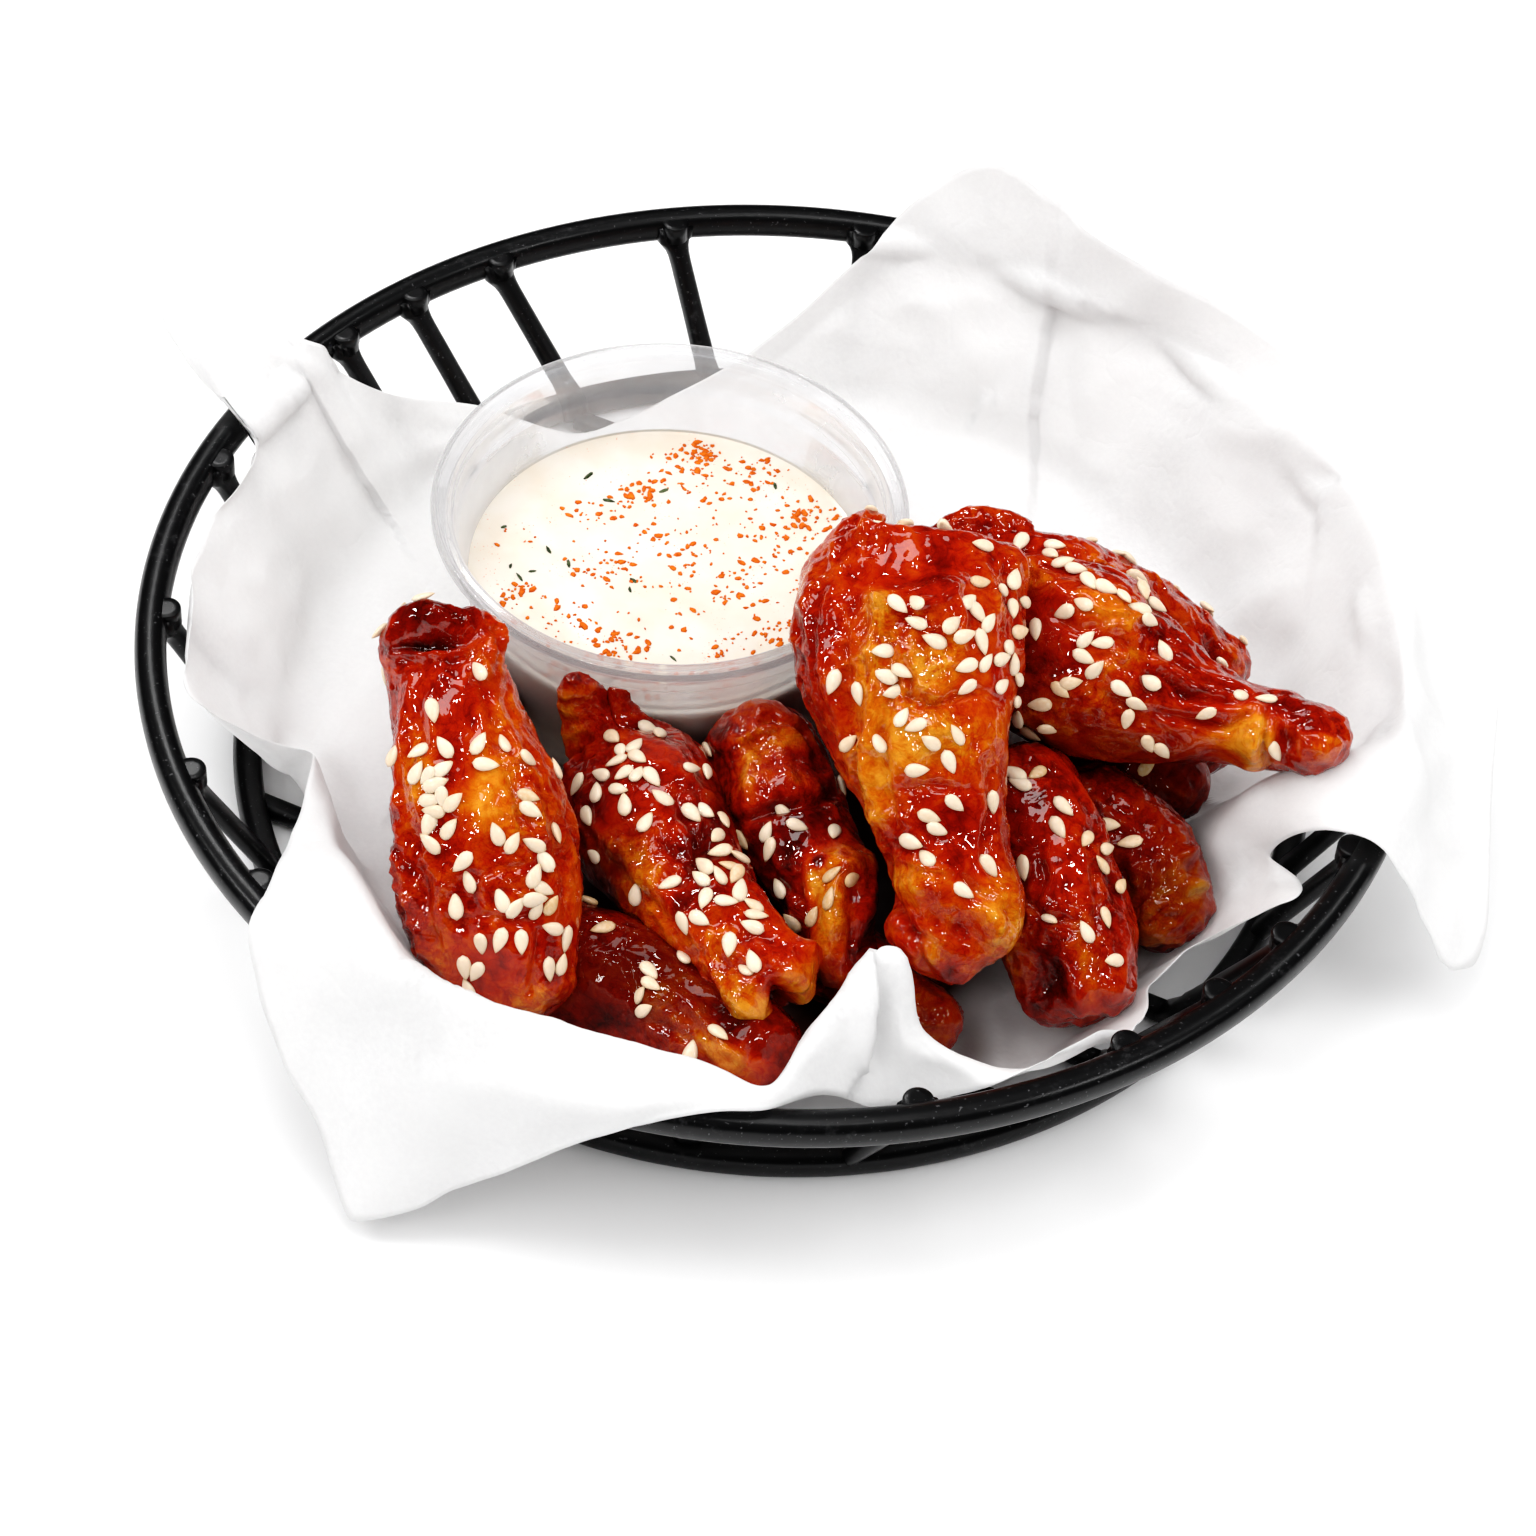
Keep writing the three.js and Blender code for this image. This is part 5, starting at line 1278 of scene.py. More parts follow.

# What shows on each wing, placed in the picture frame. The rows of lumps, rough, wet, shade
# and paint are soft ovals: (amount, x, y, half-width, half-height and, if it is turned, its
# turn in degrees). lumps rise or sink by that many mm, rough adds crags, wet is pooled glaze,
# shade is painted shade that darkens the colour and dulls the gloss where the wing lies in
# shadow, and paint sets the tone from 0, dark brown, to 1, yellow-orange. lines are ridges or
# grooves: (height in mm, half-width in pixels, places along). nudges move the skin: (x, y,
# reach, right by, down by) in pixels.
RELIEF = {
    "wing_left_tall": dict(
        lumps=[
            (-2.2, 430, 645, 34, 5, 3), (2.6, 428, 624, 34, 12, -4), (3, 486, 650, 13, 30, -15),
            (1.4, 470, 628, 14, 12), (1, 392, 645, 10, 20), (0.7, 438, 715, 26, 30),
            (0.6, 424, 790, 20, 40), (0.6, 496, 800, 26, 50, -10), (1.1, 512, 955, 32, 34),
            (0.5, 440, 900, 20, 30),
        ],
        lines=[
            (1, 6, (392, 640), (402, 628), (430, 622), (466, 624)),
            (1.2, 4, (396, 652), (428, 656), (464, 654)), (-0.9, 5, (408, 660), (424, 668), (420, 684)),
            (0.7, 4, (436, 655), (446, 672), (432, 700), (436, 740)),
            (-1, 5, (468, 640), (474, 680), (494, 720), (520, 770)),
            (0.9, 6, (482, 690), (505, 730), (526, 780), (544, 850), (556, 910)),
            (-0.7, 4, (494, 740), (512, 790), (520, 840)),
            (1.2, 6, (412, 690), (405, 760), (404, 840), (412, 900), (430, 950)),
            (-0.9, 5, (398, 700), (393, 780), (395, 860)),
            (-0.7, 5, (420, 870), (430, 910), (446, 960)),
            (-0.7, 6, (470, 880), (500, 870), (530, 862)),
            (-0.6, 5, (455, 920), (490, 915), (520, 918), (545, 912)),
            (-0.9, 5, (538, 930), (534, 960), (530, 990)),
        ],
        rough=[
            (2.4, 484, 650, 20, 36), (1.8, 396, 860, 16, 120), (1.2, 420, 940, 22, 50),
            (0.8, 530, 820, 20, 90, -15), (0.8, 425, 625, 36, 16),
        ],
        wet=[(0.9, 440, 710, 40, 40), (0.8, 500, 950, 45, 40), (0.6, 405, 780, 10, 90)],
        paint=[
            (0.34, 400, 800, 16, 140), (0.3, 430, 620, 40, 10), (0.3, 430, 622, 38, 12, -4),
            (0.02, 430, 646, 34, 5, 3), (0.7, 484, 655, 16, 34, -10), (0.36, 440, 705, 34, 44),
            (0.72, 424, 775, 18, 60), (0.76, 492, 790, 34, 56, -10), (0.44, 452, 760, 16, 40),
            (0.68, 500, 720, 12, 40, -25), (0.6, 535, 820, 14, 80, -15), (0.45, 452, 850, 34, 34),
            (0.48, 504, 866, 34, 20), (0.56, 432, 905, 26, 40), (0.36, 414, 940, 16, 50),
            (0.47, 508, 952, 42, 40), (0.44, 548, 970, 14, 40), (0.74, 524, 1003, 34, 14, 15),
            (0.45, 470, 985, 16, 22),
        ],
    ),
    "wing_front_left": dict(
        lumps=[
            (1.4, 660, 765, 45, 34), (0.8, 612, 800, 26, 24), (0.7, 640, 860, 30, 24, -30),
            (2.4, 750, 1003, 18, 28, 20), (2.2, 797, 985, 15, 28, 15), (0.8, 772, 965, 16, 16),
            (-3.2, 780, 1005, 8, 20, 20), (0.8, 700, 905, 24, 18),
        ],
        lines=[
            (-1.1, 5, (676, 792), (684, 815), (699, 835), (696, 862), (684, 885)),
            (-0.9, 4, (700, 800), (706, 822), (700, 850)),
            (-0.8, 4, (660, 830), (668, 850), (690, 862)),
            (-0.7, 5, (640, 792), (668, 800), (690, 790)),
            (0.9, 7, (600, 830), (640, 872), (676, 900), (704, 940), (722, 985)),
            (-0.7, 5, (610, 856), (650, 896), (690, 940)),
            (-0.7, 5, (720, 920), (745, 935), (775, 940)),
            (-0.6, 4, (700, 950), (730, 968), (760, 972)),
            (-0.8, 4, (586, 760), (600, 748), (622, 748)),
        ],
        rough=[(1, 725, 945, 36, 40), (0.8, 690, 830, 22, 40), (0.6, 600, 770, 30, 20)],
        nudges=[(642, 700, 26, -20, 18)],
        shade=[
            (0.7, 600, 890, 34, 70, -30), (0.7, 722, 800, 20, 70, -10), (0.4, 586, 800, 16, 50),
            (0.4, 700, 860, 20, 20),
        ],
        wet=[(0.8, 650, 775, 50, 35), (0.5, 620, 810, 40, 20)],
        paint=[
            (0.44, 655, 760, 70, 40), (0.72, 566, 722, 20, 34), (0.42, 606, 712, 12, 16),
            (0.4, 604, 806, 30, 26), (0.6, 612, 852, 30, 24, -30), (0.72, 648, 872, 40, 20, -30),
            (0.5, 640, 830, 26, 20), (0.34, 690, 835, 14, 36), (0.36, 722, 800, 14, 50, -20),
            (0.34, 704, 905, 34, 26), (0.64, 664, 925, 50, 14, -40), (0.66, 720, 945, 26, 28),
            (0.78, 796, 975, 22, 20), (0.84, 750, 1004, 24, 30, 20), (0.84, 804, 985, 20, 34, 10),
            (0.5, 784, 950, 26, 20), (0.3, 776, 1000, 7, 20, 20),
        ],
    ),
    "wing_front_low": dict(
        lumps=[(0.8, 606, 985, 34, 30), (0.7, 655, 1000, 24, 22), (1.2, 724, 1055, 32, 14, -30)],
        lines=[
            (-1, 5, (628, 960), (640, 990), (640, 1030)),
            (1.1, 5, (660, 980), (696, 1012), (730, 1050), (756, 1070)),
            (-0.8, 5, (650, 1020), (690, 1040), (720, 1070)),
            (-0.5, 5, (590, 950), (640, 962), (690, 1000)),
        ],
        rough=[(0.7, 724, 1055, 34, 16, -30)],
        wet=[(0.8, 620, 985, 60, 40)],
        paint=[
            (0.5, 640, 990, 120, 80), (0.6, 660, 1002, 26, 22), (0.82, 726, 1054, 38, 14, -35),
            (0.4, 740, 1030, 30, 14, -35), (0.3, 610, 1020, 24, 16),
        ],
        shade=[(0.85, 630, 970, 130, 70), (0.5, 740, 1025, 40, 16, -35)],
    ),
    "wing_centre": dict(
        lumps=[
            (1.6, 762, 712, 32, 20), (0.8, 730, 745, 18, 20), (1.2, 778, 782, 28, 26),
            (0.9, 788, 858, 22, 22), (2.6, 842, 868, 24, 20), (3.4, 833, 925, 14, 50, -8),
            (1.4, 842, 972, 12, 14), (2.8, 864, 905, 12, 55),
        ],
        lines=[
            (1.4, 5, (742, 752), (758, 730), (786, 734), (806, 752)),
            (-1, 4, (744, 738), (770, 724), (800, 736)),
            (-1.8, 6, (746, 820), (780, 808), (820, 800), (840, 790)),
            (1, 5, (756, 758), (752, 790), (748, 816)), (0.9, 5, (806, 868), (814, 910), (824, 960)),
            (-1.6, 5, (800, 880), (806, 930), (818, 975)), (-1, 4, (846, 890), (848, 930), (852, 970)),
            (-1.4, 5, (862, 860), (868, 900), (860, 950)),
            (-0.8, 4, (770, 850), (780, 880), (800, 900)),
        ],
        rough=[(0.8, 735, 745, 26, 30), (0.8, 820, 870, 20, 16), (0.4, 790, 780, 40, 30)],
        wet=[(0.8, 765, 705, 34, 16), (0.6, 790, 840, 30, 30)],
        paint=[
            (0.56, 760, 712, 50, 24), (0.16, 734, 748, 16, 20), (0.64, 776, 745, 34, 16),
            (0.56, 780, 782, 36, 20), (0.74, 754, 778, 8, 24), (0.2, 790, 842, 40, 34),
            (0.24, 788, 880, 22, 30), (0.62, 842, 862, 30, 18), (0.86, 820, 878, 12, 24),
            (0.1, 818, 866, 6, 8), (0.82, 832, 925, 13, 44, -5), (0.25, 866, 915, 10, 40),
            (0.62, 840, 972, 12, 12),
        ],
    ),
    "wing_centre_big": dict(
        lumps=[
            (-2.6, 905, 565, 50, 26), (2.2, 868, 528, 22, 9, 10), (0.9, 832, 640, 34, 50),
            (2.2, 882, 606, 11, 16), (-0.7, 928, 666, 24, 20), (0.9, 930, 735, 40, 30),
            (0.7, 985, 720, 20, 40), (2.6, 928, 888, 24, 20, -25), (2.4, 996, 925, 18, 28, 20),
            (-2.4, 962, 932, 22, 16, -20), (1.5, 930, 955, 14, 20), (1.2, 956, 975, 22, 12),
            (-0.9, 950, 830, 36, 20),
        ],
        nudges=[(945, 940, 60, 4, 26), (880, 880, 34, 16, 8), (1022, 925, 34, -10, 10)],
        shade=[(0.3, 1012, 800, 16, 90), (0.2, 818, 780, 14, 60)],
        lines=[
            (1.2, 6, (860, 598), (900, 610), (940, 600), (962, 580)),
            (1.5, 6, (880, 612), (872, 650), (874, 700), (868, 750), (876, 800), (890, 850)),
            (-1.3, 6, (856, 600), (846, 640), (850, 690), (856, 730)),
            (-1, 5, (890, 640), (896, 690), (884, 730)), (0.9, 5, (820, 570), (812, 610), (818, 650)),
            (0.8, 6, (836, 590), (828, 640), (832, 690), (846, 740)),
            (-0.9, 5, (896, 692), (930, 706), (978, 690), (1000, 700)),
            (0.8, 5, (902, 640), (920, 688), (945, 700)), (0.9, 5, (950, 580), (962, 620), (958, 650)),
            (-1.1, 4, (858, 740), (860, 790), (872, 850)), (-1, 4, (884, 730), (890, 790), (900, 830)),
            (0.8, 4, (850, 780), (852, 830), (868, 880)), (-0.9, 5, (900, 790), (930, 785), (965, 790)),
            (-1.1, 5, (984, 760), (990, 810), (984, 860), (998, 890)),
            (-1.6, 5, (880, 860), (900, 910), (926, 962), (946, 985)),
            (-1.2, 5, (955, 868), (975, 890), (1005, 915)),
            (0.9, 5, (905, 858), (930, 866), (960, 872)), (-0.8, 5, (890, 930), (930, 940), (950, 965)),
            (-0.8, 5, (940, 512), (970, 520), (1010, 522)),
            (0.8, 4, (836, 545), (850, 522), (890, 516)),
        ],
        rough=[
            (1.6, 930, 665, 24, 20), (1.1, 832, 640, 40, 70), (1, 868, 780, 24, 80),
            (1.2, 870, 528, 24, 12), (0.5, 940, 900, 50, 40), (0.8, 915, 545, 20, 16),
        ],
        wet=[
            (0.95, 890, 570, 60, 28), (0.9, 960, 590, 30, 40), (0.95, 955, 815, 45, 45),
            (0.7, 820, 740, 26, 50), (0.9, 985, 700, 26, 40),
        ],
        paint=[
            (0.58, 850, 660, 60, 110), (0.44, 895, 566, 62, 26), (0.56, 868, 528, 24, 10),
            (0.6, 915, 540, 14, 20), (0.36, 945, 560, 16, 34), (0.46, 990, 525, 40, 16),
            (0.58, 1000, 548, 34, 8), (0.4, 818, 650, 20, 60), (0.56, 850, 650, 10, 50),
            (0.98, 882, 606, 12, 18), (0.82, 872, 680, 14, 70), (0.76, 930, 664, 34, 26),
            (0.84, 925, 735, 50, 40), (0.68, 985, 715, 22, 44), (0.64, 1008, 740, 12, 60),
            (0.46, 825, 760, 20, 60), (0.8, 876, 790, 18, 70), (0.62, 850, 830, 12, 50),
            (0.48, 940, 800, 34, 20), (0.4, 960, 825, 36, 36), (0.34, 918, 842, 26, 18),
            (0.83, 930, 888, 36, 24, -20), (0.8, 998, 922, 22, 34, 20), (0.44, 962, 932, 24, 16, -20),
            (0.8, 935, 955, 12, 18), (0.44, 962, 972, 26, 13, -15), (0.5, 900, 930, 14, 26),
            (0.62, 945, 905, 12, 26, 15),
        ],
    ),
    "wing_right_long": dict(
        lumps=[
            (0.9, 1112, 614, 32, 18, -15), (0.8, 1040, 580, 36, 20), (2.6, 1254, 738, 22, 26),
            (1.6, 1308, 722, 24, 18, -20), (-2.4, 1286, 738, 10, 16), (1, 1322, 748, 14, 16),
            (0.8, 1070, 600, 24, 12), (0.6, 1090, 720, 60, 24, -10),
        ],
        lines=[
            (1, 4, (1156, 660), (1190, 688), (1236, 696)),
            (0.9, 4, (1164, 648), (1200, 676), (1250, 692)),
            (-1.1, 3, (1160, 672), (1186, 698), (1232, 704)),
            (-1, 3, (1168, 656), (1204, 684), (1250, 698)),
            (-1.4, 5, (1150, 712), (1190, 720), (1230, 728), (1252, 712)),
            (0.8, 6, (1200, 708), (1240, 712), (1290, 704)),
            (-0.8, 4, (1262, 706), (1290, 722), (1312, 720)),
            (-1.5, 4, (1268, 716), (1262, 745), (1272, 765)),
            (-0.8, 5, (1120, 640), (1140, 660), (1150, 690)),
            (-0.9, 5, (1056, 618), (1080, 630), (1100, 626)),
            (0.8, 5, (1010, 570), (1040, 562), (1080, 572)),
            (-0.7, 5, (1100, 690), (1140, 712), (1180, 745)),
        ],
        rough=[
            (1.9, 1112, 614, 34, 20, -15), (1.2, 1120, 665, 30, 14), (0.7, 1050, 580, 40, 16),
            (0.5, 1255, 745, 20, 26),
        ],
        wet=[
            (0.9, 1060, 612, 26, 14), (0.7, 1040, 650, 50, 30), (0.8, 1270, 705, 60, 12, -10),
            (0.6, 1130, 740, 70, 20),
        ],
        nudges=[(1310, 700, 50, -8, 18)],
        paint=[
            (0.62, 1090, 720, 90, 40, -10), (0.46, 1040, 650, 44, 28), (0.72, 1030, 580, 36, 16),
            (0.5, 1066, 578, 30, 12, -20), (0.42, 1060, 612, 18, 12), (0.76, 1112, 614, 34, 22, -15),
            (0.7, 1120, 660, 34, 16), (0.42, 1156, 678, 20, 14), (0.4, 1205, 692, 46, 10, -15),
            (0.46, 1215, 712, 50, 9), (0.56, 1170, 745, 50, 14, -10), (0.8, 1228, 738, 34, 12),
            (1, 1254, 738, 22, 28), (0.42, 1304, 712, 36, 11, -12), (0.5, 1286, 740, 10, 18),
            (0.66, 1322, 748, 16, 16), (0.5, 1230, 775, 40, 8),
        ],
        shade=[
            (0.55, 1090, 735, 80, 34, -10), (0.4, 1180, 755, 60, 14, -10), (0.45, 1036, 660, 34, 34),
            (0.3, 1150, 690, 24, 10),
        ],
    ),
    "wing_back_right": dict(
        lumps=[(1.4, 1226, 662, 16, 20), (0.6, 1196, 642, 14, 12)],
        lines=[
            (-1.3, 4, (1204, 640), (1212, 660), (1206, 684)),
            (0.8, 4, (1090, 560), (1130, 578), (1150, 600)),
        ],
        rough=[(1.2, 1110, 570, 40, 14, -25), (0.6, 1220, 660, 26, 26)],
        wet=[(0.6, 1180, 630, 20, 16)],
        paint=[
            (0.64, 1110, 570, 46, 14, -25), (0.6, 1185, 640, 40, 16, -35), (0.64, 1226, 662, 16, 20),
            (0.3, 1202, 656, 8, 20), (0.44, 990, 525, 40, 16),
        ],
    ),
    "wing_front_right": dict(
        lumps=[
            (0.7, 1030, 815, 36, 20), (1.2, 1062, 878, 24, 28), (-3.2, 1046, 985, 22, 34, 10),
            (1.2, 1112, 985, 16, 30), (0.6, 1010, 880, 16, 20),
        ],
        lines=[
            (1.2, 6, (1034, 946), (1062, 960), (1078, 995), (1080, 1020)),
            (0.9, 6, (1002, 945), (1006, 975), (1024, 1012)),
            (-1.2, 5, (1020, 895), (1040, 915), (1080, 925)),
            (-0.9, 4, (1040, 850), (1046, 880), (1034, 905)),
            (-0.9, 4, (1000, 845), (1024, 852), (1044, 842)),
            (-0.8, 5, (1086, 850), (1096, 890), (1094, 930)),
            (-0.8, 4, (1100, 950), (1098, 985), (1104, 1015)),
        ],
        rough=[(1, 1040, 980, 30, 40), (0.5, 1112, 985, 20, 30), (0.5, 1050, 860, 30, 20)],
        wet=[(0.95, 1022, 820, 44, 26), (0.7, 1065, 880, 24, 28)],
        shade=[(0.38, 1044, 975, 60, 50), (0.35, 1005, 900, 24, 60), (0.2, 1100, 900, 16, 60)],
        paint=[
            (0.36, 1020, 810, 50, 26), (0.48, 1064, 870, 28, 40), (0.36, 1010, 870, 26, 30),
            (0.68, 1020, 950, 22, 44), (0.12, 1050, 985, 20, 30), (0.64, 1086, 962, 12, 40, 10),
            (0.46, 1116, 985, 16, 32), (0.44, 1052, 1022, 34, 9),
        ],
    ),
    "wing_right_low": dict(
        lumps=[
            (2, 1186, 855, 9, 10), (2.2, 1190, 888, 12, 9), (1, 1174, 872, 14, 22),
            (0.9, 1150, 930, 14, 8), (-1.4, 1104, 888, 14, 24), (0.8, 1140, 850, 26, 24),
        ],
        lines=[
            (-0.9, 5, (1158, 840), (1164, 870), (1160, 900)),
            (-0.7, 5, (1120, 860), (1132, 890), (1120, 925)),
            (-0.9, 4, (1176, 862), (1186, 872), (1196, 872)),
        ],
        rough=[(1.5, 1160, 870, 50, 60)],
        wet=[(0.5, 1130, 840, 40, 20)],
        paint=[
            (0.6, 1140, 890, 90, 80), (0.4, 1100, 885, 24, 44), (0.5, 1136, 846, 34, 28),
            (0.7, 1176, 872, 16, 26), (0.62, 1136, 918, 26, 20), (0.94, 1190, 892, 9, 9),
            (0.7, 1150, 936, 16, 8),
        ],
        shade=[(0.72, 1140, 890, 110, 90), (0.2, 1100, 885, 24, 50)],
    ),
    "wing_front_under": dict(
        paint=[(0.62, 945, 1010, 60, 60)],
        shade=[(0.5, 925, 1030, 30, 40), (0.25, 945, 1010, 60, 60)],
    ),
    "wing_right_under": dict(
        lines=[(-0.8, 5, (1140, 760), (1160, 790), (1180, 805))],
        rough=[(0.6, 1160, 790, 40, 20)],
        paint=[(0.45, 1140, 790, 100, 60), (0.6, 1185, 800, 16, 8)],
        shade=[(0.8, 1140, 790, 100, 60)],
    ),
}

AROUND = 96
BODY_STEPS = 60
CAP_STEPS = 12
FLAP_AROUND = 40
FLAP_STEPS = 24
FLAP_ENDS = (1.2, 1.2)  # how far a flap's ends bulge
VOXEL = 0.46  # the skin's remeshing step
WING_LENGTH = 60  # a whole spine in mm, for places past its ends

# The skin's own unevenness: the size of its features and how high they stand, in mm.
LUMP_SIZE, LUMP_HEIGHT = 13, 0.5
FOLD_SIZE, FOLD_HEIGHT = 6, 0.65
CREASE_SIZE, CREASE_HEIGHT = 3.8, 0.42
PIMPLE_SIZE, PIMPLE_HEIGHT = 1.6, 0.08
GRIT_SIZE = 0.9
POOL_SIZE = 14


def angle_between(a, b):
    return np.abs((a - b + 540) % 360 - 180)


def wing_frame(loft, place):
    """Centre, direction, side and outward way of a wing at places along its spine."""
    centre = along(loft["spine"], place)
    ahead = along(loft["spine"], np.minimum(place + 0.01, 1))
    behind = along(loft["spine"], np.maximum(place - 0.01, 0))
    way = unit(ahead - behind)
    side = unit(np.cross(way, TOWARDS_VIEW))
    return centre, way, side, np.cross(side, way)


def round_patch(place, angle, u, around, length, width):
    """A soft patch on a wing, by its place along the spine and its angle round it."""
    du, da = (place - u) / length, angle_between(angle, around) / width
    return np.exp(-du * du - da * da)


def skin_points(loft, place, cap, angle):
    """Points of a wing's plain skin, as the solid has them."""
    centre, way, side, out = wing_frame(loft, place)
    end = (cap > 0).astype(int)
    share = np.abs(cap)
    rounding = np.cos(share * math.pi / 2)
    ends = np.array(loft.get("ends", FLAP_ENDS), float)[end]
    hollow = np.array(loft.get("hollow", (0, 0)), float)[end]
    bulge = ends * np.sin(share * math.pi / 2) - hollow * (1 - rounding) ** 1.5
    centre = centre + way * (np.sign(cap) * bulge)[:, None]
    a = np.radians(angle)
    wide = along(loft["wide"], place) * np.cos(a)
    deep = along(loft["deep"], place) * np.sin(a)
    radial = side * wide[:, None] + out * deep[:, None]
    place_on = place + cap * ends / WING_LENGTH
    bump = np.zeros(len(place))
    for u, around, height, length, width in loft.get("bumps", ()):
        bump += height * round_patch(place_on, angle, u, around, length, width)
    radial = (radial + unit(radial) * bump[:, None]) * rounding[:, None]
    return settled(centre + radial)


def settled(points):
    """Pressed flat where the wing would sink into the floor or the wall of the paper."""
    points[:, 2] = np.maximum(points[:, 2], WING_FLOOR)
    radius = np.hypot(points[:, 0], points[:, 1])
    limit = WALL_RADIUS + (points[:, 2] - PAPER_FLOOR) * WALL_LEAN
    out = (radius > limit) & (points[:, 2] < RIM_HEIGHT)
    points[out, :2] *= (limit[out] / radius[out])[:, None]
    return points


def loft_mesh(loft, around, steps):
    """(points, faces) of a wing's or a flap's plain skin."""
    caps = np.sin(np.linspace(0, 1, CAP_STEPS + 2)[1:-1] * math.pi / 2)
    rows = [(0, -c) for c in caps[::-1]]
    rows += [(i / steps, 0) for i in range(steps + 1)]
    rows += [(1, c) for c in caps]
    angle = np.arange(around) * 360 / around

    def row_points(place, cap, angle):
        return skin_points(loft, np.full(len(angle), place), np.full(len(angle), cap), angle)

    rings = [row_points(place, float(cap), angle) for place, cap in rows]
    poles = [row_points(place, cap, np.zeros(1))[0] for place, cap in ((0.0, -1.0), (1.0, 1.0))]
    return capped(rings, *poles)


def remeshed(points, faces):
    """(points, faces) of the outer skin of several closed lofts, evenly meshed."""
    obj = mesh_object("scratch", points, faces, None)
    modifier = obj.modifiers.new("skin", "REMESH")
    modifier.mode = "VOXEL"
    modifier.voxel_size = VOXEL * MM
    bpy.context.view_layer.update()
    evaluated = obj.evaluated_get(bpy.context.evaluated_depsgraph_get())
    points, faces = mesh_parts(evaluated.to_mesh())
    evaluated.to_mesh_clear()
    bpy.data.objects.remove(obj)
    return points / MM, faces


def vertex_normals(points, faces):
    quads = np.array([f if len(f) == 4 else (*f, f[2]) for f in faces])
    p = points[quads]
    face = np.cross(p[:, 2] - p[:, 0], p[:, 3] - p[:, 1])
    normals = np.zeros_like(points)
    for k in range(4):
        np.add.at(normals, quads[:, k], face)
    return unit(normals)


def dots(a, b):
    """The dot product of each pair of rows."""
    return np.einsum("ij,ij->i", a, b)


def nearest_place(loft, points):
    """The place along the spine that is nearest to each point."""
    steps = np.linspace(0, 1, 81)
    best = np.full(len(points), np.inf)
    place = np.zeros(len(points))
    for t, centre in zip(steps, along(loft["spine"], steps)):
        d = np.linalg.norm(points - centre, axis=1)
        closer = d < best
        best[closer] = d[closer]
        place[closer] = t
    return place


def angles_round(loft, points, place):
    """(angle round the spine, place that runs on past its ends) of points on the skin."""
    centre, way, side, out = wing_frame(loft, place)
    off = points - centre
    past = np.where((place < 0.01) | (place > 0.99), dots(off, way) / WING_LENGTH, 0)
    return np.degrees(np.arctan2(dots(off, out), dots(off, side))) % 360, place + past


def facing(points, normals):
    """1 where the skin faces the camera, down to 0 where it turns away."""
    return np.clip((dots(normals, unit(CAMERA_AT - points)) + 0.1) / 0.4, 0, 1)


def painted(loft, relief, points, place, places, seen):
    """The skin's broad tones: by the wing's paint out of sight, by its relief's paint in sight."""
    tone = np.full(len(points), float(loft["tone"]))
    angle, place_on = angles_round(loft, points, place)
    for u, around, length, width, change in loft.get("paint", ()):
        tone += change * round_patch(place_on, angle, u, around, length, width) * (1 - seen)
    for value, *patch in relief.get("paint", ()):
        weight = np.minimum(1.25 * patch_weight(places, *patch), 1) * seen
        tone += (value - tone) * weight
    return tone


def weathered(loft, points, normals, seed):
    """The skin with its lumps, folds and crags, and its tone, wetness and painted shade at each point."""
    relief = RELIEF.get(loft["name"], {})
    points = nudged(points, relief.get("nudges", ()))
    seen, places = facing(points, normals), in_picture(points)
    shape = ovals(places, relief.get("lumps", ()))
    for height, width, *line in relief.get("lines", ()):
        shape += height * line_weight(places, line, width)
    points = points + normals * (shape * seen)[:, None]

    place = nearest_place(loft, points)
    _, way, _, _ = wing_frame(loft, place)
    stretched = points - way * (dots(points, way) * 0.55)[:, None]  # folds run along the wing
    lumps = noise(points, LUMP_SIZE, seed)
    folds = 1 - 2 * np.abs(noise(stretched, FOLD_SIZE, seed + 1))
    creases = 1 - 2 * np.abs(noise(stretched + 3 * normals, CREASE_SIZE, seed + 2))
    pimples = noise(points, PIMPLE_SIZE, seed + 3)
    grit = noise(points, GRIT_SIZE, seed + 5)
    pools = np.clip(0.35 + 1.5 * noise(points, POOL_SIZE, seed + 4), 0, 1)
    wet = np.clip(pools * 0.7 + ovals(places, relief.get("wet", ())) * seen, 0, 1)
    rough = ovals(places, relief.get("rough", ())) * seen
    dry = 1 - 0.75 * wet
    height = LUMP_HEIGHT * lumps + FOLD_HEIGHT * folds * dry
    height = height + CREASE_HEIGHT * creases * dry + PIMPLE_HEIGHT * pimples * dry
    height += rough * (0.35 * creases + 0.3 * pimples + 0.1 * grit)

    tone = painted(loft, relief, points, place, places, seen)
    tone += 0.08 * lumps + 0.1 * folds * dry + 0.08 * creases + 0.05 * pimples
    # painted shade where the wing lies in the shadow of its neighbours; it darkens and dulls the glaze
    shade = np.clip(ovals(places, relief.get("shade", ())), 0, 0.9)
    return points + normals * height[:, None], dict(tone=np.clip(tone, 0, 1), wet=wet, shade=shade)


def held_back(loft, points, trees, gap=0.25):
    """Points that would pass through the paper or the cup stop just short of them."""
    centre = along(loft["spine"], nearest_place(loft, points))
    way = points - centre
    reach = np.linalg.norm(way, axis=1)
    way = way / reach[:, None]
    for i in range(len(points)):
        start, line = Vector(centre[i] * MM), Vector(way[i])
        for tree in trees:
            hit = tree.ray_cast(start, line, (reach[i] + gap) * MM)[0]
            if hit is not None:
                reach[i] = max((hit - start).length / MM - gap, 0.5)
    return centre + way * reach[:, None]


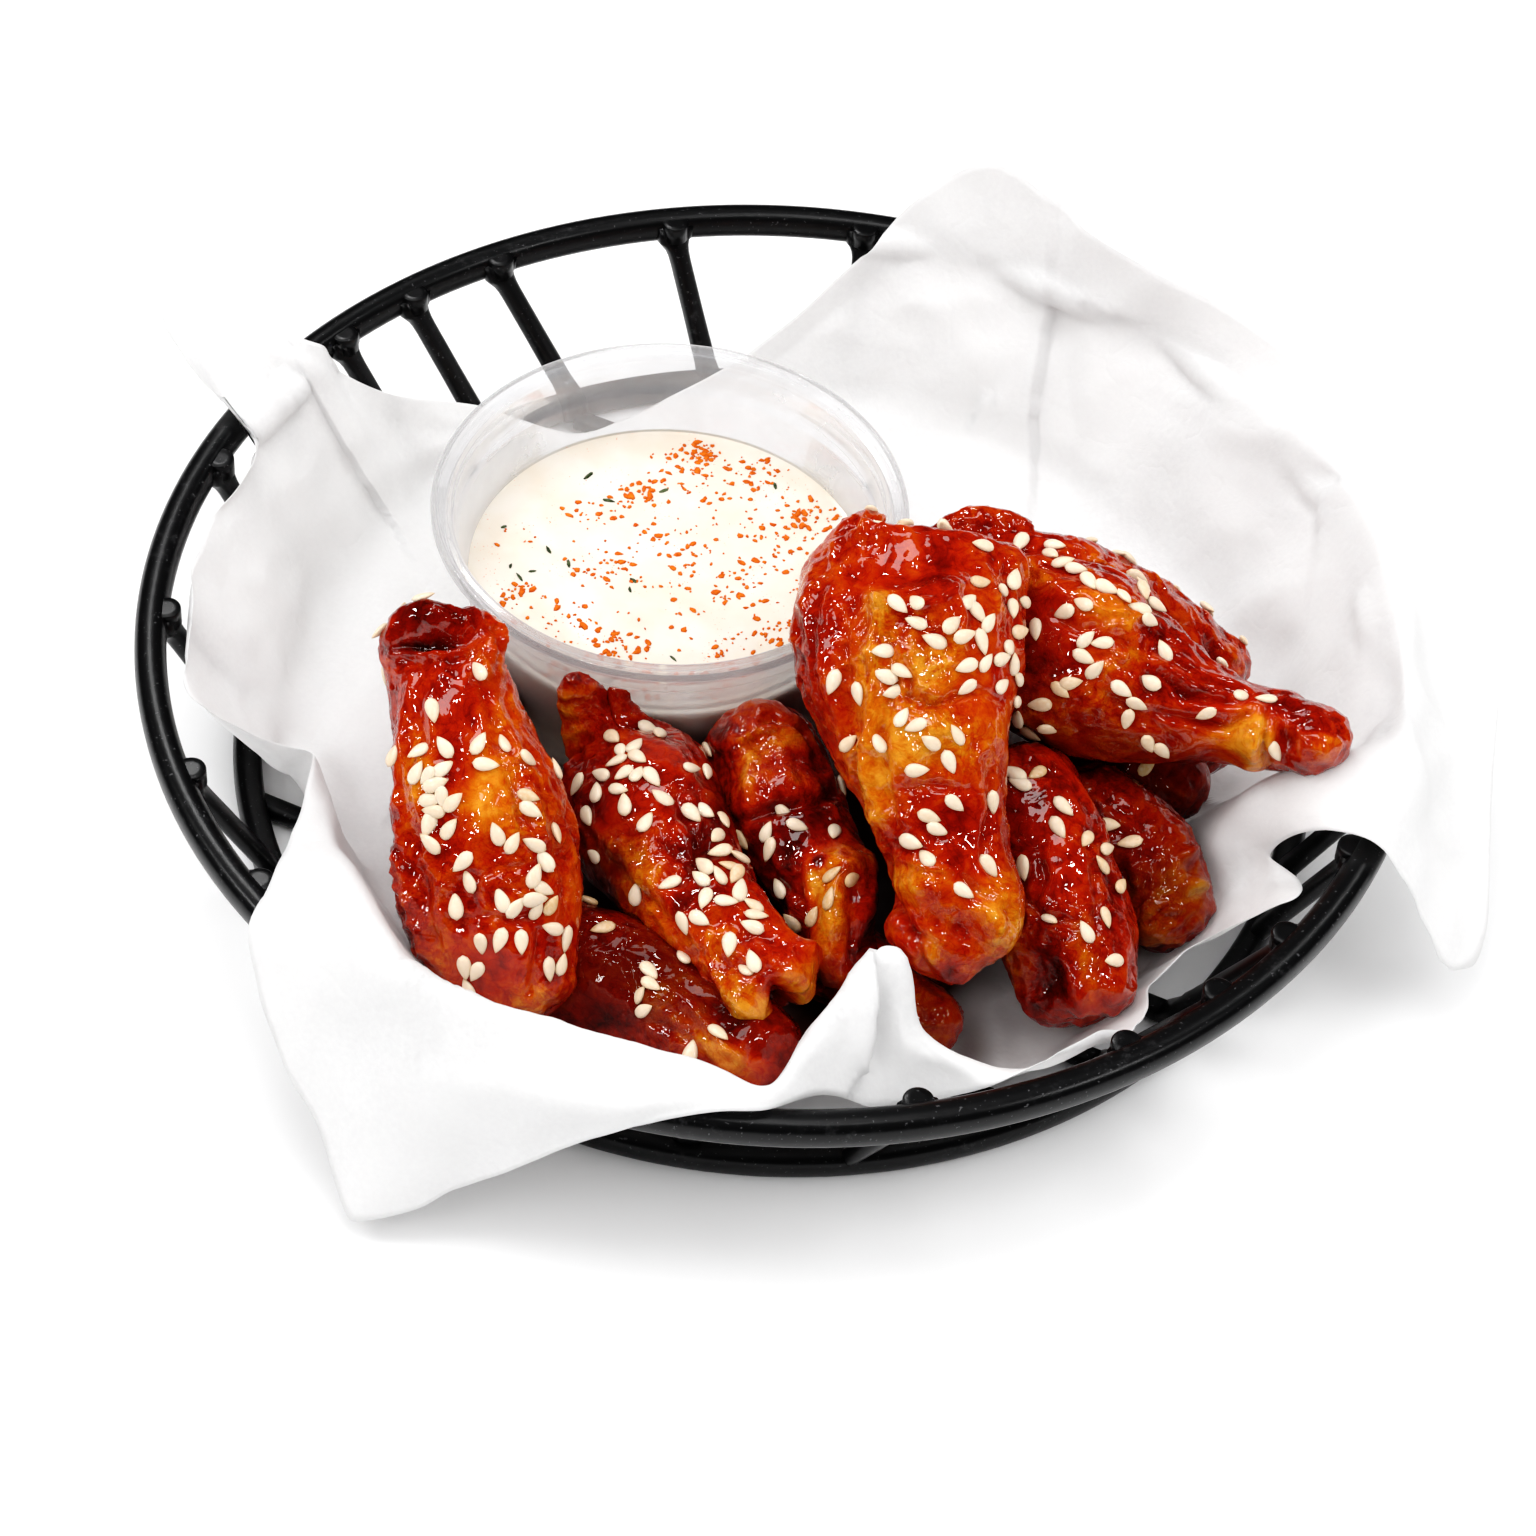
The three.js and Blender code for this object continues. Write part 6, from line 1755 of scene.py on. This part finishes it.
def wing(loft, number, trees):
    """One wing's skin over its loft and its flaps."""
    pieces = [loft_mesh(loft, AROUND, BODY_STEPS)]
    pieces += [loft_mesh(flap, FLAP_AROUND, FLAP_STEPS) for flap in loft.get("flaps", ())]
    points, faces = remeshed(*joined(pieces))
    points, values = weathered(loft, points, vertex_normals(points, faces), 100 + number * 10)
    points = held_back(loft, points, trees)
    obj = mesh_object(loft["name"] + "_skin", points, faces, glazed_skin(loft["name"] + "_glaze", number))
    keep_values(obj, **values)
    return dress(obj, "wing", loft["name"])


# ------------------------------------------------------------ sesame seeds


def seed_mesh(at, normal, lengthways, size):
    """(points, faces, tip share) of one flat teardrop seed lying on the skin."""
    sideways = unit(np.cross(normal, lengthways))
    lengthways = np.cross(sideways, normal)
    around, steps = 12, 9
    c, s = circle(around)
    rings, tips = [], []
    for i in range(1, steps):
        t = i / steps
        swell = math.sin(math.pi * t**0.72) ** 0.8  # blunt tail, drawn-out tip
        centre = at + lengthways * (t - 0.5) * SEED_LENGTH * size
        wide = SEED_WIDTH / 2 * size * swell
        deep = SEED_THICKNESS / 2 * size * swell**0.9
        rings.append(centre + np.outer(c, sideways) * wide + np.outer(s, normal) * deep)
        tips += [t] * around
    ends = [at + lengthways * side * SEED_LENGTH * size / 2 for side in (-1, 1)]
    points, faces = capped(rings, *ends)
    return points, faces, tips + [0, 1]


# Where each seed lies in the picture frame, the turn of its long side in degrees anticlockwise
# from level and how far it is browned (to 1), for glaze over it and for painted shade in shadow.
SEEDS = {
    "wing_left_tall": [
        (432, 711, 100), (394, 756, 70, 0.2), (419, 752, 30), (445, 747, 125), (479, 744, 60),
        (503, 744, 108), (527, 759, 144), (486, 765, 175), (417, 773, 60), (428, 776, 50),
        (443, 769, 35), (436, 784, 20), (431, 800, 5), (442, 797, 96), (454, 802, 45), (434, 811, 175),
        (429, 824, 70), (450, 829, 50), (431, 843, 135), (497, 834, 112), (513, 843, 60),
        (534, 844, 155), (545, 860, 125), (555, 834, 105, 0.3), (531, 810, 150), (528, 796, 160, 0.8),
        (463, 862, 45), (470, 881, 110), (456, 906, 95), (502, 900, 112), (515, 907, 50),
        (534, 876, 70), (543, 889, 155), (534, 899, 8), (536, 909, 60), (552, 928, 165), (565, 939, 85),
        (561, 964, 75), (548, 969, 95), (521, 942, 92), (500, 940, 72), (481, 943, 97), (465, 967, 98),
        (477, 971, 60), (469, 989, 112), (480, 671, 128), (551, 905, 60, 0.8),
    ],
    "wing_front_left": [
        (558, 764, 112, 0.1), (578, 785, 60), (597, 793, 90), (602, 775, 165), (621, 752, 105),
        (635, 747, 45), (617, 762, 30), (638, 758, 150), (624, 774, 35), (637, 775, 60),
        (652, 778, 130), (619, 790, 172), (625, 805, 98), (588, 817, 112), (646, 823, 58),
        (662, 799, 145), (649, 730, 150), (659, 735, 70), (613, 738, 140, 0.3), (691, 769, 172),
        (706, 773, 84), (709, 750, 125, 0.2), (692, 814, 135), (704, 812, 150), (723, 821, 115, 0.3),
        (716, 837, 45, 0.2), (720, 852, 14, 0.1), (739, 858, 160, 0.3), (742, 840, 128, 0.7),
        (729, 867, 165, 0.7), (705, 866, 140), (719, 876, 120, 0.1), (701, 879, 140), (705, 899, 70),
        (736, 875, 60, 0.7), (726, 902, 175), (740, 891, 80), (753, 906, 150, 0.2),
        (756, 916, 168, 0.1), (752, 927, 160), (670, 884, 22), (636, 894, 80), (595, 856, 135),
        (684, 923, 105), (700, 919, 150), (682, 958, 120), (729, 945, 85), (753, 962, 110),
        (745, 971, 140),
    ],
    "wing_left_bottom": [(585, 899, 150, 0.8)],
    "wing_front_low": [
        (649, 972, 130, 0.1), (651, 985, 150, 0.2), (641, 995, 60, 0.1), (645, 1010, 28, 0.1),
        (718, 1034, 140, 0.1), (691, 1053, 75, 0.1), (603, 929, 20, 0.6),
    ],
    "wing_centre": [
        (782, 811, 130), (797, 826, 162), (767, 832, 65), (770, 850, 75), (780, 889, 112),
        (834, 833, 78), (833, 875, 38, 0.9), (851, 879, 22, 0.9), (830, 899, 72, 0.8),
        (813, 917, 60, 0.8), (793, 922, 135, 0.5),
    ],
    "wing_centre_big": [
        (945, 529, 112), (982, 546, 168), (1020, 543, 60), (980, 583, 5, 0.6), (1014, 580, 75),
        (1001, 590, 150), (1023, 602, 158), (1012, 609, 92), (968, 602, 40), (977, 613, 125),
        (898, 605, 140), (917, 603, 135), (916, 623, 160), (951, 625, 40), (934, 641, 158),
        (964, 636, 20), (988, 623, 60), (981, 642, 100), (1008, 647, 60), (1001, 659, 20),
        (1013, 664, 95), (882, 652, 6), (885, 676, 160), (902, 672, 150), (893, 692, 15),
        (833, 682, 70), (859, 694, 98), (966, 666, 20), (985, 663, 60), (966, 687, 38), (1001, 686, 42),
        (1017, 679, 138), (1016, 702, 160), (1019, 718, 92), (902, 718, 58), (916, 726, 20),
        (930, 742, 148), (956, 735, 122), (949, 762, 112), (917, 770, 4), (878, 743, 115),
        (849, 743, 42, 0.3), (842, 784, 107, 0.1), (954, 803, 140), (929, 816, 160), (937, 829, 157),
        (912, 842, 158), (927, 859, 132), (963, 891, 145), (992, 802, 95), (989, 866, 125),
        (1014, 774, 155), (1020, 784, 160),
    ],
    "wing_front_right": [
        (1063, 807, 135), (1058, 828, 122), (1024, 868, 98), (1050, 921, 152), (1086, 932, 120),
        (1113, 961, 5),
    ],
    "wing_right_low": [
        (1109, 825, 178, 0.4), (1130, 843, 12, 0.4), (1106, 849, 15, 0.4), (1086, 840, 60, 0.6),
        (1101, 865, 120, 0.5), (1120, 886, 55, 0.6), (1105, 918, 105, 0.5),
    ],
    "wing_right_under": [(1146, 767, 40, 0.8), (1037, 774, 30, 0.8)],
    "wing_right_long": [
        (1055, 546, 172), (1051, 555, 150), (1063, 563, 10), (1076, 569, 170), (1089, 582, 125),
        (1106, 588, 155), (1124, 598, 132), (1139, 609, 160), (1149, 620, 150), (1137, 577, 150, 0.2),
        (1143, 591, 110, 0.2), (1156, 606, 150, 0.1), (1065, 612, 20), (1084, 604, 155),
        (1036, 630, 92), (1019, 632, 15, 0.5), (1086, 639, 42), (1102, 643, 4), (1084, 657, 150),
        (1095, 669, 45), (1164, 651, 115), (1150, 682, 155), (1071, 683, 10, 0.4),
        (1061, 690, 140, 0.5), (1121, 689, 145), (1137, 703, 150), (1127, 719, 75, 0.3),
        (1040, 704, 2, 0.4), (1031, 733, 150, 0.4), (1049, 728, 170, 0.4), (1206, 713, 22, 0.1),
        (1148, 743, 115, 0.4), (1162, 750, 130, 0.1), (1274, 751, 115), (1241, 696, 15),
        (1266, 700, 175),
    ],
}

# Rows of seeds on the sides that the picture doesn't show: the wing, how many, and from
# which way they were sprinkled.
MORE_SEEDS = [
    ("wing_left_tall", 14, (-0.5, 0.6, 0.6)),
    ("wing_front_left", 6, (-0.4, 0.5, 0.8)),
    ("wing_centre_big", 16, (-0.2, 0.8, 0.6)),
    ("wing_right_long", 10, (0.2, 0.8, 0.6)),
    ("wing_back_right", 14, (0.3, 0.7, 0.6)),
    ("wing_right_low", 4, (0.8, 0.2, 0.5)),
]
SPRINKLE_SPREAD = 14
SPRINKLE_DISTANCE = 90
SEED_LIFT = 0.3  # of a seed's middle over the skin
SEED_STACKING = 0.55  # how much higher it lies for each seed under it


def seed_under(trees, x, y):
    """(point, normal) of the first wing under a place in the picture, or beside it."""
    for reach in (0, 3, 6, 9, 12):
        for turn in range(0, 360, 60):
            a = math.radians(turn)
            way = sight_line(x + reach * math.cos(a), y + reach * math.sin(a))
            hits = [tree.ray_cast(Vector(CAMERA_AT * MM), Vector(way)) for tree in trees]
            hits = [hit for hit in hits if hit[0] is not None]
            if hits:
                nearest = min(hits, key=lambda hit: hit[3])
                return np.array(nearest[0]) / MM, np.array(nearest[1])
            if reach == 0:
                break
    return None, None


def lengthways_in_picture(at, normal, turn):
    """The direction along the skin that shows at this turn in the picture."""
    right, up, _ = camera_axes()
    towards = unit(CAMERA_AT - at)
    a = math.radians(turn)
    way = right * math.cos(a) + up * math.sin(a)
    level = max(normal @ towards, 0.3)
    return unit(way - towards * (way @ normal) / level)


def seeds_in_picture(trees, draw):
    """(place, normal, lengthways, tan) of each seed that the picture shows."""
    laid = []
    for rows in SEEDS.values():
        for x, y, turn, *tan in rows:
            at, normal = seed_under(trees, x, y)
            if at is not None:
                turn += 180 * (draw() > 0.5)
                laid.append((at, normal, lengthways_in_picture(at, normal, turn), sum(tan)))
    return laid


def seeds_out_of_sight(trees, draw):
    """The same for the seeds that are sprinkled where the picture doesn't look."""
    names = [loft["name"] for loft in WINGS]
    laid = []
    for name, count, source in MORE_SEEDS:
        number, source = names.index(name), unit(source)
        for _ in range(count):
            centre = along(WINGS[number]["spine"], draw() * 0.9 + 0.05)
            aim = centre + (np.array([draw(), draw(), draw()]) - 0.5) * SPRINKLE_SPREAD
            start = Vector((aim + source * SPRINKLE_DISTANCE) * MM)
            hits = [(tree.ray_cast(start, Vector(-source)), k) for k, tree in enumerate(trees)]
            hits = [(hit[3], k, hit) for hit, k in hits if hit[0] is not None]
            if not hits or min(hits)[1] != number:
                continue
            _, _, (hit, normal, _, _) = min(hits)
            hit, normal = np.array(hit) / MM, np.array(normal)
            if normal @ unit(CAMERA_AT - hit) > 0.1:
                continue
            lengthways = unit(np.cross(normal, [draw() - 0.5, draw() - 0.5, draw() - 0.5]))
            laid.append((hit, normal, lengthways, 0.1))
    return laid


def sesame_seeds(wings):
    """All the seeds in one mesh. A seed that lies on others is lifted."""
    trees = [bvh_of(obj) for obj in wings]
    draw = seeded_random(20)
    laid = seeds_in_picture(trees, draw) + seeds_out_of_sight(trees, draw)
    pieces, shades, tips, kept = [], [], [], []
    for at, normal, lengthways, tan in laid:
        under = sum(np.linalg.norm(at - other) < SEED_WIDTH * 0.75 for other in kept)
        kept.append(at)
        size = 0.9 + 0.2 * draw()
        tilt = unit(normal + 0.25 * (np.array([draw(), draw(), draw()]) - 0.5))
        centre = at + normal * (SEED_LIFT + SEED_STACKING * min(under, 2))
        points, faces, tip = seed_mesh(centre, tilt, lengthways, size)
        pieces.append((points, faces))
        tips += tip
        # each seed's shade: a little random tone plus its glaze tan and painted shade
        shades += [min(0.25 * draw() + tan, 1)] * len(points)
    obj = mesh_object("sesame_seeds", *joined(pieces), sesame())
    keep_values(obj, shade=shades, tip=tips)
    return dress(obj, "wing")


# ------------------------------------------------------------ camera, light and floor


def camera():
    data = bpy.data.cameras.new("camera")
    data.sensor_width = SENSOR_WIDTH
    data.lens = SENSOR_WIDTH * FOCAL_PIXELS / PICTURE
    data.clip_end = 10
    obj = linked("camera", data)
    turn = Matrix([Vector(axis) for axis in camera_axes()]).transposed().to_4x4()
    obj.matrix_world = Matrix.Translation(Vector(CAMERA_AT * MM)) @ turn
    bpy.context.scene.camera = obj


WORLD_STRENGTH = 0.67  # the white room, which lights the serving and isn't mirrored in it
LIGHTS = [  # name, place and size in metres, power in watts
    ("softbox_overhead", (-0.14, 0.12, 1.1), (0.5, 0.34), 2.6),
    ("window_left", (-0.6, 0.05, 0.8), (0.056, 0.17), 2.3),
    ("window_front", (-0.4, -0.6, 0.75), (0.065, 0.11), 1.3),
    ("strip_right", (0.55, -0.25, 0.8), (0.05, 0.15), 1.3),
    ("lamp_behind", (-0.25, 0.55, 0.75), (0.13, 0.05), 1.4),
    ("lamp_left_low", (-0.55, -0.3, 0.5), (0.03, 0.1), 0.45),
    ("lamp_top", (0.1, -0.12, 0.95), (0.035, 0.1), 0.55),
    ("lamp_right_behind", (0.42, 0.35, 0.7), (0.03, 0.1), 0.5),
]
SOFT_SIZE = 0.45  # these lights are only mirrored: a twin of at least this size lights the food
LIT_PLACE = (0, 0, 0.02)  # what the lights point at
FLOOR_SIZE = 6000  # mm
FILLS = [  # lights that aren't mirrored
    ("fill_front", (0.05, -1.0, 0.5), (0.9, 0.5), 0.3),
    ("fill_right", (0.9, 0.1, 0.55), (0.6, 0.5), 2.0),
]
CONTRAST = [(0.025, 0.009), (0.15, 0.132), (0.5, 0.515)]  # light in, light out


def area_light(name, at, size, power):
    data = bpy.data.lights.new(name, "AREA")
    data.shape = "RECTANGLE"
    data.size, data.size_y = size
    data.energy = power
    obj = linked(name, data)
    obj.location = at
    obj.rotation_euler = (Vector(LIT_PLACE) - Vector(at)).to_track_quat("-Z", "Y").to_euler()
    return obj


def white_room():
    """An even white light from all round, which isn't mirrored in the glaze."""
    world = bpy.data.worlds.new("studio")
    world.use_nodes = True
    background = world.node_tree.nodes["Background"]
    background.inputs["Color"].default_value = (1, 1, 1, 1)
    background.inputs["Strength"].default_value = WORLD_STRENGTH
    bpy.context.scene.world = world
    world.cycles_visibility.glossy = False


def white_floor():
    n = Nodes("floor")
    tint = n.mix(n.noise(60, detail=2), (0.965, 0.965, 0.97), (0.985, 0.985, 0.985))
    paint = n.principled({"Base Color": tint, "Roughness": 0.8, "Specular IOR Level": 0.1})
    size = FLOOR_SIZE / 2
    corners = [(-size, -size, 0), (size, -size, 0), (size, size, 0), (-size, size, 0)]
    floor = mesh_object("floor", corners, [(0, 1, 2, 3)], n.finish(paint), False)


def exposure():
    """The picture's tones: a curve that darkens the shadows and lifts the rest a little."""
    view = bpy.context.scene.view_settings
    view.view_transform = "Standard"
    view.use_curve_mapping = True
    for light_in, light_out in CONTRAST:
        view.curve_mapping.curves[3].points.new(light_in, light_out)
    view.curve_mapping.update()


def studio():
    white_room()
    for name, at, size, power in LIGHTS:
        area_light(name, at, size, power).visible_diffuse = False
        soft_size = np.maximum(size, SOFT_SIZE).tolist()
        area_light(name + "_soft", at, soft_size, power).visible_glossy = False
    for fill in FILLS:
        area_light(*fill).visible_glossy = False
    white_floor()
    exposure()


# ------------------------------------------------------------ the whole serving

camera()
studio()
basket()
sheet = liner()
cup_object = cup()
dip_object = dip()
seasoning(dip_object)
blockers = [bvh_of(sheet), bvh_of(cup_object)]
wing_objects = [wing(loft, number, blockers) for number, loft in enumerate(WINGS)]
sesame_seeds(wing_objects)
